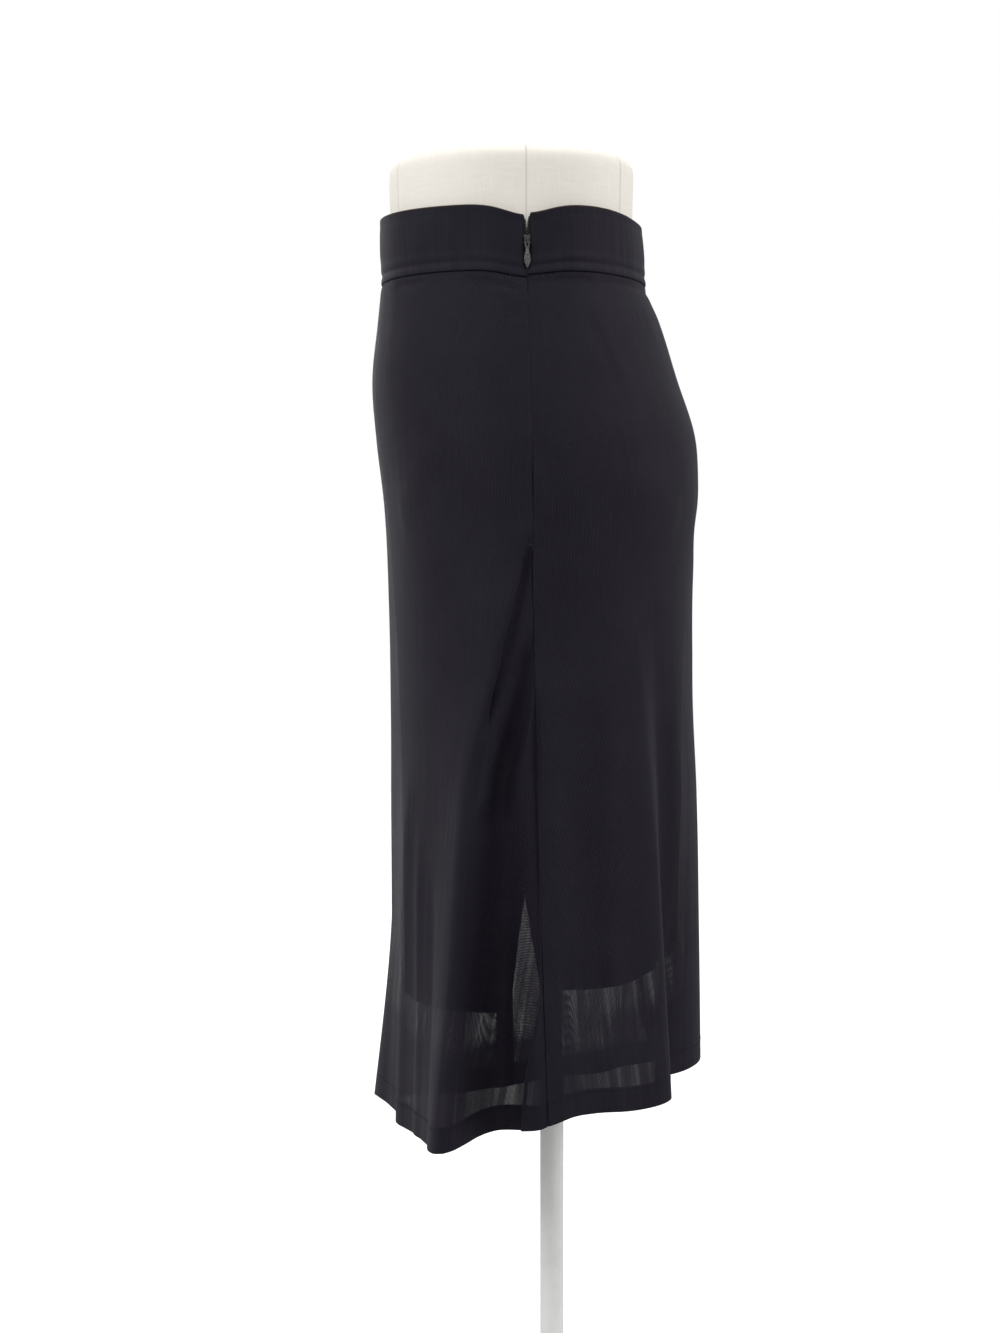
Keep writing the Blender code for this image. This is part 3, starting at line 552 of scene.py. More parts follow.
HEM_FALL = (
    HemStop(0, 0.0008),
    HemStop(6, -0.0040),
    HemStop(12, -0.0045),
    HemStop(22, -0.0030),
    HemStop(50, -0.0160),
    HemStop(90, -0.0280),
    HemStop(104, -0.0190),
    HemStop(122, 0.0020),
    HemStop(140, 0.0190),
    HemStop(158, 0.0300),
    HemStop(178, 0.0400),
    HemStop(187, 0.0440),
    HemStop(200, 0.0455),
    HemStop(213, 0.0420),
    HemStop(225, 0.0360),
    HemStop(240, 0.0270),
    HemStop(255, 0.0195),
    HemStop(270, 0.0230),
    HemStop(283, 0.0240),
    HemStop(297, 0.0195),
    HemStop(315, 0.0195),
    HemStop(340, 0.0160),
    HemStop(353, 0.0125),
    HemStop(360, 0.0008),
)
print("folds:", ", ".join(fold.name for fold in FOLDS))

# %% From tables to points


def eased(table, column, at):
    """A column of a table, on a smooth curve through its rows, at a value of its first column."""
    keys = np.array([row[0] for row in table])
    values = np.array([getattr(row, column) for row in table])
    slopes = np.gradient(values, keys)
    at = np.clip(at, keys[0], keys[-1])
    i = np.clip(np.searchsorted(keys, at, side="right") - 1, 0, len(keys) - 2)
    span = keys[i + 1] - keys[i]
    t = (at - keys[i]) / span
    start = (2 * t**3 - 3 * t**2 + 1) * values[i] + (t**3 - 2 * t**2 + t) * span * slopes[i]
    end = (3 * t**2 - 2 * t**3) * values[i + 1] + (t**3 - t**2) * span * slopes[i + 1]
    return start + end


def skirt_section(drop):
    return Section(drop, *(float(eased(SKIRT_SECTIONS, name, drop)) for name in Section._fields[1:]))


def lining_section(drop):
    """The skirt's section, drawn in to where the lining hangs."""
    skirt = skirt_section(drop)
    side, front, back, seam = (float(eased(LINING_HANG, name, drop)) for name in Hang._fields[1:])
    drawn_in = {"half_width": skirt.half_width - side, "front": skirt.front - front, "back": skirt.back - back}
    return skirt._replace(**drawn_in, seam_y=skirt.seam_y - seam)


def girth_curve(section):
    """(girth degrees, points, half girths) of a whole turn."""
    turn = np.radians(np.linspace(0, 360, 1441))
    c, s = np.cos(turn), np.sin(turn)
    power = np.where(s >= 0, 2 / section.square_back, 2 / section.square_front)
    reach = np.where(s >= 0, section.back - section.seam_y, section.front + section.seam_y)
    x = section.half_width * np.sign(c) * np.abs(c) ** power
    y = section.seam_y + reach * np.sign(s) * np.abs(s) ** power
    along = np.concatenate([[0], np.cumsum(np.hypot(np.diff(x), np.diff(y)))])
    half = along[720]
    girth = np.where(turn <= math.pi, along / half * 180, 180 + (along - half) / (along[-1] - half) * 180)
    return girth, np.stack([x, y], 1), (half, along[-1] - half)


def around(section, girth):
    """(points, outward normals) of a section at positions round the girth."""
    known, points, _ = girth_curve(section)

    def at(where):
        where = np.mod(where, 360)
        return np.stack([np.interp(where, known, points[:, k]) for k in (0, 1)], -1)

    along = at(girth + 0.8) - at(girth - 0.8)
    normal = np.stack([along[:, 1], -along[:, 0]], 1)
    return at(girth), normal / np.linalg.norm(normal, axis=1)[:, None]


def metres_from_zip(girth, section):
    """Distance along the cloth from the zipped seam, negative towards the front."""
    away = np.mod(girth + 180, 360) - 180
    _, _, halves = girth_curve(section)
    return away / 180 * np.where(away < 0, halves[1], halves[0])


def degrees_of(width, section, in_back):
    return width / girth_curve(section)[2][0 if in_back else 1] * 180


print("waist:", round(sum(girth_curve(skirt_section(0))[2]), 3), "m")
print("hips:", round(sum(girth_curve(skirt_section(HIP_DROP))[2]), 3), "m")

# %% One ring of the skirt


def zip_dip(girth, drop, section):
    """How much lower the band and the cloth below it hang beside the zip."""
    metres = metres_from_zip(girth, section)
    share = min(max(drop, 0) / BAND_WIDTH, 1.0)
    fade = max(0.0, 1 - max(0.0, drop - BAND_WIDTH) / (DIP_END_DROP - BAND_WIDTH)) ** 2
    depth = [top + (seam - top) * share for top, seam in (DIP_FRONT, DIP_BACK)]
    return fade * np.where(metres < 0, depth[0], depth[1]) * np.exp(-((metres / DIP_REACH) ** 2))


def fold_pushes(girth, drop, normal):
    for fold in FOLDS:
        grown = max(0.0, (drop - fold.starts) / (HEM_DROP - fold.starts))
        centre = fold.starts_at + (fold.hem_at - fold.starts_at) * min(1.0, grown**DRIFT)
        away = np.mod(girth - centre + 180, 360) - 180
        width = np.where(away < 0, fold.before, fold.after)
        way = normal
        if fold.aim is not None:
            way = np.array([math.cos(math.radians(fold.aim)), math.sin(math.radians(fold.aim))])
        yield fold.depth * grown**fold.power / np.cosh(away / width) ** 2, way


def ring(section_of, drop, girth, folded=True):
    """Points of a cloth's outer face round one ring, at a nominal drop below the waist."""
    girth = np.asarray(girth, float)
    section = section_of(drop)
    flat, normal = around(section, girth)
    dip = zip_dip(girth, drop, section)
    if dip.max() > 0:
        deepest, _ = around(section_of(drop + dip.max()), girth)
        flat = flat + (deepest - flat) * (dip / dip.max())[:, None]
    tilt = max(0.0, (drop - HIP_DROP) / (HEM_DROP - HIP_DROP))
    fade = max(0.0, 1 - max(drop, 0.0) / WAIST_FALL_END) ** 2
    lower = dip + fade * eased(WAIST_FALL, "lower", np.mod(girth, 360))
    lower = lower + tilt * eased(HEM_FALL, "lower", np.mod(girth, 360))
    if folded:
        for push, way in fold_pushes(girth, drop, normal):
            flat = flat + way * push[:, None]
            lower = lower + CREST_SAG * push
    return np.column_stack([flat[:, 0], flat[:, 1] - POLE_BEHIND, WAIST_HEIGHT - drop - lower])


print("hem at the zipped side:", [round(float(v), 3) for v in ring(skirt_section, HEM_DROP, [0.0])[0]])

# %% [markdown]
# ## From points to cloth
#
# Cloth is a grid, so each piece starts as Blender's own grid, made with bmesh. Its points are then moved to
# where the tables say they hang. The grid also gets a map that holds each point's place on the flat cloth, in
# metres, for the knit pattern to follow. Creases are too small for the solids, and are pushed in here along the
# cloth's normals.

# %% Helpers for cloth


def normals_of(points):
    """Outward normals of a grid of points whose rows run down and whose columns run anticlockwise."""
    down = np.gradient(points, axis=0)
    along = np.gradient(points, axis=1)
    normal = np.cross(down, along)
    return normal / np.maximum(np.linalg.norm(normal, axis=2), 1e-12)[..., None]


def mesh_object(name, bm, material, smooth=True):
    mesh = bpy.data.meshes.new(name)
    bm.to_mesh(mesh)
    bm.free()
    mesh.materials.append(material)
    if smooth:
        mesh.shade_smooth()
    thing = bpy.data.objects.new(name, mesh)
    bpy.context.scene.collection.objects.link(thing)
    return thing


def cloth_from_grid(name, points, layout, material, marks=None):
    """A sheet through a grid of points, with its flat layout in metres as its map and marks on its points."""
    rows, columns = points.shape[:2]
    bm = bmesh.new()
    bmesh.ops.create_grid(bm, x_segments=columns - 1, y_segments=rows - 1, size=1)
    places = bm.loops.layers.uv.new(CLOTH_MAP)
    for vertex in bm.verts:
        column = round((vertex.co.x + 1) / 2 * (columns - 1))
        row = rows - 1 - round((vertex.co.y + 1) / 2 * (rows - 1))
        vertex.index = row * columns + column
    for face in bm.faces:
        for loop in face.loops:
            row, column = divmod(loop.vert.index, columns)
            loop[places].uv = layout[row, column]
    marked = bm.verts.layers.float.new(BUNCHING) if marks is not None else None
    for vertex in bm.verts:
        row, column = divmod(vertex.index, columns)
        vertex.co = points[row, column]
        if marked:
            vertex[marked] = marks[row, column]
    return mesh_object(name, bm, material)


def flat_layout(points):
    """Each grid point's place on the flat cloth: metres across from the middle column, and metres down."""
    step_down = np.linalg.norm(np.diff(points, axis=0), axis=2).mean(axis=1)
    step_along = np.linalg.norm(np.diff(points, axis=1), axis=2)
    down = np.concatenate([[0], np.cumsum(step_down)])
    along = np.concatenate([np.zeros((len(points), 1)), np.cumsum(step_along, axis=1)], axis=1)
    along -= along[:, [points.shape[1] // 2]]
    return np.stack([along, np.repeat(-down[:, None], points.shape[1], axis=1)], axis=2)


DETAIL = 1.0
print("detail:", DETAIL)

# %% [markdown]
# ## Creases
#
# Jersey keeps soft creases where it is pulled: below the zip's end, where two slanting ones run into the
# big side fold, under the waistband, and long faint ridges down the back. Each is a line on the cloth, from one
# place to another, with a depth that swells and fades along it. A positive depth is a ridge, a negative one a
# trough. A simulation would put creases where it likes, so they are listed one by one.

# %% The crease table
# before and after: the crease's width towards smaller and larger degrees. path: (degrees of girth, drop) points.
Crease = namedtuple("Crease", "name depth before after path")
CREASES = (
    Crease(
        "big_fold_edge", 0.0014, 0.010, 0.0036,
        ((0, 0.225), (-7, 0.325), (-11, 0.352), (-17, 0.414), (-17, 0.9)),
    ),
    Crease(
        "big_fold_inside", -0.0036, 0.0065, 0.018,
        ((-3, 0.300), (-8, 0.368), (-12, 0.420), (-12, 0.570), (-12, 0.90)),
    ),
    Crease(
        "seam_edge", 0.0036, 0.0018, 0.014,
        ((1, 0.330), (1, 0.386), (0.5, 0.470), (-0.5, 0.566), (-4, 0.622), (-7, 0.72)),
    ),
    Crease(
        "seam_edge_inside", -0.0046, 0.0052, 0.0012,
        ((0.5, 0.330), (0.4, 0.40), (-0.2, 0.470), (-1.2, 0.566), (-4.6, 0.622), (-7.6, 0.72)),
    ),
    Crease(
        "first_slant", -0.0062, 0.0026, 0.0056,
        ((-0.5, 0.240), (-2.2, 0.270), (-4.6, 0.300), (-8.2, 0.345), (-11, 0.380)),
    ),
    Crease(
        "second_slant", -0.0064, 0.0056, 0.0028,
        ((0.2, 0.310), (-1.6, 0.345), (-3.4, 0.376), (-5.8, 0.410), (-7.4, 0.450)),
    ),
    Crease(
        "second_slant_ridge", 0.0020, 0.0050, 0.0030,
        ((-3.2, 0.335), (-5.6, 0.370), (-8.4, 0.405), (-10, 0.440)),
    ),
    Crease(
        "under_band_left", -0.0013, 0.0018, 0.0026,
        ((-1.5, 0.0600), (-8, 0.0575), (-15, 0.0555), (-26, 0.0530)),
    ),
    Crease("under_band_left_lip", 0.0010, 0.0030, 0.0030, ((-5, 0.0640), (-12, 0.0650), (-24, 0.0620))),
    Crease("under_band_back", -0.0012, 0.003, 0.003, ((8, 0.0540), (17, 0.0545), (27, 0.0535))),
    Crease("under_band_front", -0.0010, 0.003, 0.003, ((-40, 0.0540), (-52, 0.0545), (-64, 0.0535))),
    Crease(
        "back_soft_ridge", 0.0022, 0.010, 0.014,
        ((19, 0.340), (18.5, 0.400), (17.5, 0.480), (17, 0.600), (17, 0.720)),
    ),
    Crease("back_soft_trough", -0.0016, 0.012, 0.012, ((10, 0.400), (10, 0.480), (9, 0.600), (9, 0.720))),
    Crease(
        "back_side_crest", 0.0008, 0.014, 0.006,
        ((50, 0.330), (50, 0.370), (49, 0.480), (42, 0.590), (39, 0.70)),
    ),
    Crease("front_edge_ridge", 0.0018, 0.008, 0.008, ((-44, 0.430), (-43, 0.520), (-41, 0.600), (-40, 0.74))),
    Crease("front_edge_trough", -0.0018, 0.008, 0.009, ((-34, 0.460), (-33, 0.540), (-31, 0.620), (-30, 0.74))),
    Crease("front_long_ridge", 0.0020, 0.014, 0.014, ((-54, 0.400), (-57, 0.520), (-58, 0.70))),
    Crease("front_pull", 0.0010, 0.018, 0.018, ((-30, 0.180), (-46, 0.200), (-62, 0.230))),
    Crease("hip_pull", 0.0010, 0.020, 0.020, ((24, 0.200), (38, 0.215), (52, 0.235))),
    Crease("seat_trough", -0.0014, 0.022, 0.022, ((66, 0.236), (90, 0.244), (114, 0.238))),
    Crease("seat_slant", -0.0012, 0.018, 0.018, ((118, 0.250), (108, 0.290), (96, 0.330))),
    Crease("back_long_trough", -0.0020, 0.012, 0.014, ((75, 0.430), (76, 0.540), (77, 0.72))),
    Crease("back_long_ridge", 0.0018, 0.013, 0.010, ((99, 0.400), (101, 0.520), (102, 0.72))),
    Crease(
        "far_fold_edge", 0.0040, 0.0030, 0.015,
        ((181, 0.260), (187, 0.330), (196, 0.420), (198, 0.520), (198, 0.80)),
    ),
    Crease("far_fold_inside", -0.0034, 0.012, 0.012, ((180, 0.320), (182, 0.420), (184, 0.520), (184, 0.80))),
    Crease("far_slant", -0.0030, 0.005, 0.004, ((180, 0.270), (185, 0.330), (190, 0.390))),
    Crease("far_back_ridge", 0.0026, 0.012, 0.006, ((170, 0.320), (163, 0.440), (160, 0.560), (160, 0.74))),
    Crease("far_under_band", -0.0014, 0.0035, 0.0035, ((186, 0.0545), (195, 0.0550), (204, 0.0545))),
    Crease("far_front_ridge", 0.0018, 0.012, 0.012, ((222, 0.430), (220, 0.540), (219, 0.72))),
    Crease("front_middle_trough", -0.0016, 0.015, 0.015, ((262, 0.440), (263, 0.540), (264, 0.72))),
)


def crease_push(metres, drops, half_girth, turn_from):
    """How far the creases push each point of a grid, given its distance round the cloth and its drop."""
    place = np.stack([metres, np.broadcast_to(drops[:, None], metres.shape)], 2)
    push = np.zeros_like(metres)
    for crease in CREASES:
        turn = [(girth - turn_from) % 360 + turn_from for girth, _ in crease.path]
        path = np.array([(t / 180 * np.interp(d, drops, half_girth), d) for t, (_, d) in zip(turn, crease.path)])
        steps = np.diff(path, axis=0)
        lengths = np.linalg.norm(steps, axis=1)
        reached = np.concatenate([[0], np.cumsum(lengths)])
        nearest = np.full(metres.shape, np.inf)
        share, after = np.zeros_like(metres), np.zeros(metres.shape, bool)
        for start, step, length, passed in zip(path, steps, lengths, reached):
            offset = place - start
            along = np.clip((offset @ step) / length**2, 0, 1)
            gap = np.linalg.norm(offset - along[..., None] * step, axis=2)
            closer = gap < nearest
            nearest = np.where(closer, gap, nearest)
            share = np.where(closer, (passed + along * length) / reached[-1], share)
            after = np.where(closer, offset[..., 0] * step[1] - offset[..., 1] * step[0] > 0, after)
        swell = np.sin(np.pi / 2 * np.clip(np.minimum(share, 1 - share) / 0.22, 0, 1)) ** 1.4
        width = np.where(after, crease.after, crease.before)
        push += crease.depth * swell * np.exp(-((nearest / width) ** 2))
    return push


print("creases:", len(CREASES))

# %% [markdown]
# ## The sheer panels
#
# The front and the back are each one layer of jersey, cut wide at the hem. At the bottom the cloth turns up
# inside for 17 mm, which is why the hem looks solid while the cloth above it can be seen through. That turn is
# modelled as it is sewn: the grid runs down the outside, rounds the fold, and comes up again on the inside.

# %% Make the sheer panels


def even_steps(*stops_and_counts):
    """Drops in even steps between stops: (stop, count), (stop, count), ..."""
    drops = [stops_and_counts[0][0]]
    for (start, _), (stop, count) in zip(stops_and_counts, stops_and_counts[1:]):
        steps = max(2, round(count * DETAIL))
        drops.extend(np.linspace(start, stop, steps + 1)[1:])
    return np.array(drops)


def crowded(first, last, count):
    """Columns from first to last degrees, closer together where folds are."""
    fine = np.linspace(first, last, 400)
    density = np.ones_like(fine)
    for fold in FOLDS:
        away = np.mod(fine - fold.hem_at + 180, 360) - 180
        density += abs(fold.depth) / 0.02 * np.exp(-((away / 10) ** 2))
    for crease in CREASES:
        away = np.mod(fine - np.mean([girth for girth, _ in crease.path]) + 180, 360) - 180
        density += 0.004 / min(crease.before, crease.after) * np.exp(-((away / 7) ** 2))
    total = np.concatenate([[0], np.cumsum((density[1:] + density[:-1]) / 2)])
    return np.interp(np.linspace(0, total[-1], count + 1), total, fine)


HEM_TOP = HEM_DROP - HEM_WIDTH
PANEL_DROPS = even_steps((BAND_WIDTH + SEAM_GAP, 0), (0.075, 14), (0.250, 46), (HEM_TOP, 130), (HEM_DROP, 8))


SEAM_SINK = 0.0010  # the panel's top edge is drawn in under the band
SEAM_ROLL, ROLL_WIDTH = 0.0008, 0.0026  # its edge rolls in to the zip


def panel_points(in_back, columns):
    """The outer face of the front or the back, down to the hem's edge, with its creases."""
    first, last = (0.0, 180.0) if in_back else (180.0, 360.0)
    spread = crowded(first, last, columns)
    rows, metres, halves, girths = [], [], [], []
    for drop in PANEL_DROPS:
        section = skirt_section(drop)
        inset = degrees_of(SEAM_GAP / 2, section, in_back)
        girth = first + inset + (spread - first) / 180 * (180 - 2 * inset)
        girths.append(girth)
        rows.append(ring(skirt_section, drop, girth))
        half = girth_curve(section)[2]
        halves.append(half)
        metres.append((girth if in_back else girth - 360) / 180 * half[0 if in_back else 1])
    points = np.array(rows)
    half_girth = np.array(halves)[:, 0 if in_back else 1]
    push = crease_push(np.array(metres), PANEL_DROPS, half_girth, -60 if in_back else -240)
    below_seam = PANEL_DROPS - BAND_WIDTH
    push *= np.clip(below_seam / 0.003, 0, 1)[:, None]
    push -= (SEAM_SINK * np.exp(-((below_seam / 0.0020) ** 2)))[:, None]
    beside_zip = np.clip((ZIP_DROP - PANEL_DROPS) / 0.012, 0, 1)[:, None]
    push -= SEAM_ROLL * beside_zip * np.clip(1 - abs(np.array(metres)) / ROLL_WIDTH, 0, 1)
    return points + normals_of(points) * push[..., None], np.array(girths)


def with_turned_hem(points):
    """The panel's points, then the fold at its edge and the hem's inner layer, which lies against the panel."""
    normal = normals_of(points)
    bottom, normal_there = points[-1], normal[-1]
    down = points[-1] - points[-2]
    down /= np.linalg.norm(down, axis=1)[:, None]
    apart = 0.0012
    turn = []
    for angle in (35, 75, 105, 145):
        out, below = math.cos(math.radians(angle)), math.sin(math.radians(angle))
        turn.append(bottom - normal_there * apart / 2 * (1 - out) + down * apart / 2 * below)
    rows = [r for r in range(len(points) - 1, 0, -1) if PANEL_DROPS[r] >= HEM_TOP - 1e-6]
    inside = [points[r] - normal[r] * apart for r in rows]
    return np.concatenate([points, np.array(turn), np.array(inside)])


def with_turned_sides(points, normal):
    """Two more columns at each side, where the cloth turns in to its seam."""
    sides = []
    for edge, beside in ((0, 1), (-1, -2)):
        back = points[:, beside] - points[:, edge]
        back /= np.linalg.norm(back, axis=1)[:, None]
        shoulder = points[:, edge] - normal[:, edge] * 0.0005
        sides.append((shoulder, shoulder - normal[:, edge] * 0.0009 + back * 0.0004))
    (left, far_left), (right, far_right) = sides
    return np.concatenate([np.stack([far_left, left], 1), points, np.stack([right, far_right], 1)], axis=1)


def bunching_of(girth, drop):
    """How much the cloth is gathered into flutes at a ring: 0 where it hangs flat, 1 where it is closest."""
    _, normal = around(skirt_section(drop), girth)
    pushed = sum(push for push, _ in fold_pushes(girth, drop, normal))
    centre_back = 0.8 * np.exp(-(((girth - 80) / 26) ** 4))
    far_side = np.exp(-(((girth - 182) / 42) ** 4))
    return np.clip(pushed / 0.012 + centre_back, 0, 1) * (1 - far_side) + FAR_OPENNESS * far_side


Panel = namedtuple("Panel", "points normals girth in_back")
panels = {}
for name, in_back in (("sheer_front", False), ("sheer_back", True)):
    outer, girth = panel_points(in_back, round(230 * DETAIL))
    panels[in_back] = Panel(outer, normals_of(outer), girth, in_back)
    whole = with_turned_hem(outer)
    whole = with_turned_sides(whole, np.concatenate([normals_of(outer), normals_of(whole)[len(outer) :]]))
    bunching = np.array([bunching_of(g, d) for g, d in zip(girth, PANEL_DROPS)])
    bunching = np.concatenate([bunching, np.repeat(bunching[-1:], len(whole) - len(outer), axis=0)])
    bunching = np.pad(bunching, ((0, 0), (2, 2)), mode="edge")
    panel = cloth_from_grid(name, whole, flat_layout(whole), sheer_knit, bunching)
    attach(panel, "garment")
    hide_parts("skirt_back" if in_back else "skirt_front")

# %% [markdown]
# ## The waistband
#
# The band is faced, so it is thick enough to stand by itself. Its top edge is folded, which shows as a soft
# round, and a little above its seam the seam allowance inside shows through as a faint ridge. A grid gives its
# outer face, Solidify gives it the facing, and Bevel rounds the folded edge.

# %% Make the waistband
GapStop = namedtuple("GapStop", "drop half_gap")
ZIP_GAP = (
    GapStop(0.0000, 0.0026),
    GapStop(0.0030, 0.0018),
    GapStop(0.0100, 0.0031),
    GapStop(0.0320, 0.0032),
    GapStop(0.0410, 0.0022),
    GapStop(0.0455, 0.0008),
    GapStop(0.0480, 0.0002),
)
Ridge = namedtuple("Ridge", "drop height width")
BAND_RIDGES = (
    Ridge(0.0370, 0.00055, 0.0028),
    Ridge(0.0412, -0.00045, 0.0012),
    Ridge(0.0455, 0.00070, 0.0022),
    Ridge(0.0060, -0.00018, 0.0022),
)


def band_points(in_back, columns):
    drops = even_steps((0, 0), (BAND_WIDTH, 56))
    rows = []
    for drop in drops:
        section = skirt_section(drop)
        half_gap = np.interp(drop, [stop.drop for stop in ZIP_GAP], [stop.half_gap for stop in ZIP_GAP])
        near = degrees_of(half_gap, section, in_back)
        far = degrees_of(SEAM_GAP / 2, section, in_back)
        away = near + (180 - near - far) * np.linspace(0, 1, columns) ** 1.15
        rows.append(ring(skirt_section, drop, away if in_back else 360 - away[::-1]))
    points = np.array(rows)
    push = sum(ridge.height * np.exp(-(((drops - ridge.drop) / ridge.width) ** 2)) for ridge in BAND_RIDGES)
    uneven = 0.75 + 0.25 * np.sin(np.linspace(0, 17, columns)) * np.sin(np.linspace(1, 6, columns))
    return points + normals_of(points) * (push[:, None] * uneven[None, :])[..., None]


def thicken(thing, thickness, round_edge):
    """Gives a sheet its wall, inwards, and rounds the wall's edges."""
    wall = thing.modifiers.new("wall", "SOLIDIFY")
    wall.thickness = thickness
    wall.offset = -1
    if round_edge:
        edge = thing.modifiers.new("folded edge", "BEVEL")
        edge.width = round_edge
        edge.segments = 3
        edge.limit_method = "ANGLE"
        edge.angle_limit = math.radians(60)
    return thing


for name, in_back in (("band_front", False), ("band_back", True)):
    points = band_points(in_back, round(110 * DETAIL))
    band = cloth_from_grid(name, points, flat_layout(points), band_knit)
    thicken(band, BAND_CLOTH, 0.0007)
    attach(band, "garment")
    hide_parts("waistband_back" if in_back else "waistband_front")

# %% [markdown]
# ## The lining
#
# The lining is shorter than the skirt and shows only through the sheer cloth: its hem as a dark edge, and its
# side slits as narrow pointed windows. It gets a few long soft waves of its own, because a lining never hangs
# as flat as the cone it is cut from.

# %% Make the lining
LINING_END = 0.572


def lining_opening(drop, at_zip):
    """How far the lining's edge stays from its side seam: round the zip's tape above, in the slit below."""
    if at_zip and drop <= ZIP_DROP + TAPE_TAIL:
        return TAPE_HALF + 2 * SEAM_GAP
    if drop <= SLIT_DROP:
        return SEAM_GAP / 2
    return SEAM_GAP / 2 + SLIT_HALF * (drop - SLIT_DROP) / (LINING_END - SLIT_DROP)


def lining_points(in_back, columns):
    drops = even_steps((0.044, 0), (0.250, 30), (0.256, 2), (SLIT_DROP, 30), (LINING_END, 40))
    rows = []
    for drop in drops:
        section = lining_section(drop)
        near = degrees_of(lining_opening(drop, True), section, in_back)
        far = degrees_of(lining_opening(drop, False), section, in_back)
        far_seam = 180 - np.interp(drop, (0.256, 0.410), (0, LINING_SWING))
        first, last = (near, far_seam - far) if in_back else (far_seam + far, 360 - near)
        girth = np.linspace(first, last, columns)
        points = ring(lining_section, drop, girth, folded=False)
        _, normal = around(section, girth)
        free = np.clip((drop - 0.30) / (LINING_END - 0.30), 0, 1)
        wave = 0.0022 * np.sin(np.radians(girth) * 11 + 0.6) + 0.0012 * np.sin(np.radians(girth) * 23 + 2.0)
        points[:, :2] += normal * (wave * free)[:, None]
        rows.append(points)
    return np.array(rows)


linings = {}
for name, in_back in (("lining_front_cloth", False), ("lining_back_cloth", True)):
    points = linings[in_back] = lining_points(in_back, round(120 * DETAIL))
    lining = cloth_from_grid(name, points, flat_layout(points), lining_knit)
    thicken(lining, 0.0008, 0)
    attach(lining, "garment")
    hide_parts("lining_back" if in_back else "lining_front")

# %% [markdown]
# ## Seam allowances
#
# Inside the skirt, the cut edges of the side seams are neatened together and pressed towards the back. Through
# sheer cloth they show as a dark stripe beside the seam, so they can't be left out. Each is a narrow double
# strip that follows the panel's own grid, a little behind it. Beside the zip they are sewn to its tape.

# %% Make the seam allowances


def behind_skirt(from_seam, behind, first_drop=0.0, last_drop=9.0):
    """Points behind the cloth at distances from the zipped seam, positive towards the back, one row per drop."""
    rows = []
    for r, drop in enumerate(PANEL_DROPS):
        if not first_drop <= drop <= last_drop:
            continue
        row = []
        for distance in from_seam:
            panel = panels[distance > 0]
            away = degrees_of(distance, skirt_section(drop), panel.in_back)
            girth = away if panel.in_back else 360 + away
            face = panel.points[r] - panel.normals[r] * behind
            row.append([np.interp(girth, panel.girth[r], face[:, k]) for k in range(3)])
        rows.append(row)
    return np.array(rows)


def far_behind_panel(from_seam, behind):
    """The same at the far side seam, towards the back."""
    panel = panels[True]
    rows = []
    for r, drop in enumerate(PANEL_DROPS):
        away = degrees_of(np.asarray(from_seam), skirt_section(drop), True)
        face = panel.points[r] - panel.normals[r] * behind
        rows.append(np.stack([np.interp(180 - away[::-1], panel.girth[r], face[:, k]) for k in range(3)], 1))
    return np.array(rows)


ALLOWANCE = 0.0125
BESIDE_ZIP = 0.0150
strips = {
    "side_allowance": behind_skirt(np.linspace(-0.0016, ALLOWANCE, 9), 0.0016, first_drop=0.262),
    "far_side_allowance": far_behind_panel(np.linspace(-0.0004, ALLOWANCE, 7), 0.0016),
    "zip_allowance_back": behind_skirt(np.linspace(0.0004, BESIDE_ZIP, 7), 0.0016, 0.0495, 0.262),
    "zip_allowance_front": behind_skirt(np.linspace(-BESIDE_ZIP, -0.0004, 7), 0.0016, 0.0495, 0.262),
}
for name, points in strips.items():
    strip = cloth_from_grid(name, points, flat_layout(points), hidden_knit)
    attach(strip, "garment")

# %% [markdown]
# ## The zip's tapes
#
# A zip is sewn in by two woven tapes, one along each edge of the opening. They stay apart above the slider and
# meet below it. Only a little of them is seen, between the ends of the waistband, but their twill tells the eye
# at once that this is a zip and not a slot. The linen pattern, made black and much finer, serves as their weave.

# %% Make the zip's tapes
tape_weave, tree, shader = start_material("tape_weave", 0.85, Specular_IOR_Level=0.3, Sheen_Weight=0.06)
layout = tree.nodes.new("ShaderNodeUVMap")
layout.uv_map = CLOTH_MAP
BLACK_THREAD, GREY_THREAD = (0.010, 0.009, 0.012, 1), (0.020, 0.018, 0.023, 1)
_, weave = place_group(
    tree, linen_group, Cloth=layout.outputs["UV"], Thread=0.0004, Light_Thread=GREY_THREAD, Dark_Thread=BLACK_THREAD
)
tree.links.new(weave["Colour"], shader.inputs["Base Color"])
tree.links.new(weave["Roughness"], shader.inputs["Roughness"])
bump(tree, shader, weave["Height"], 0.0001, 0.7)

TAPE_TOP, TAPE_CLOTH = 0.003, 0.0007
TAPE_BEHIND_BAND, TAPE_BEHIND_PANEL = 0.0023, 0.0015


def parted(drop):
    """How far each tape's inner edge stays from the zip's line."""
    return 0.0002 + 0.0014 * max(0.0, 1 - drop / 0.018)


def along_zip(drops, widths, behind, in_back):
    """Points behind the cloth at distances from the zip's line, on one side of it; widths has a row per drop."""
    rows = []
    for drop, width in zip(drops, widths):
        girth = degrees_of(np.asarray(width), skirt_section(drop), in_back)
        rows.append(ring(skirt_section, drop, girth if in_back else 360 - girth[::-1]))
    points = np.array(rows)
    depth = behind(drops) if callable(behind) else np.full(len(drops), behind)
    return points - normals_of(points) * depth[:, None, None]


def tape_depth(drops):
    return np.interp(drops, (0.058, 0.064), (TAPE_BEHIND_BAND, TAPE_BEHIND_PANEL))


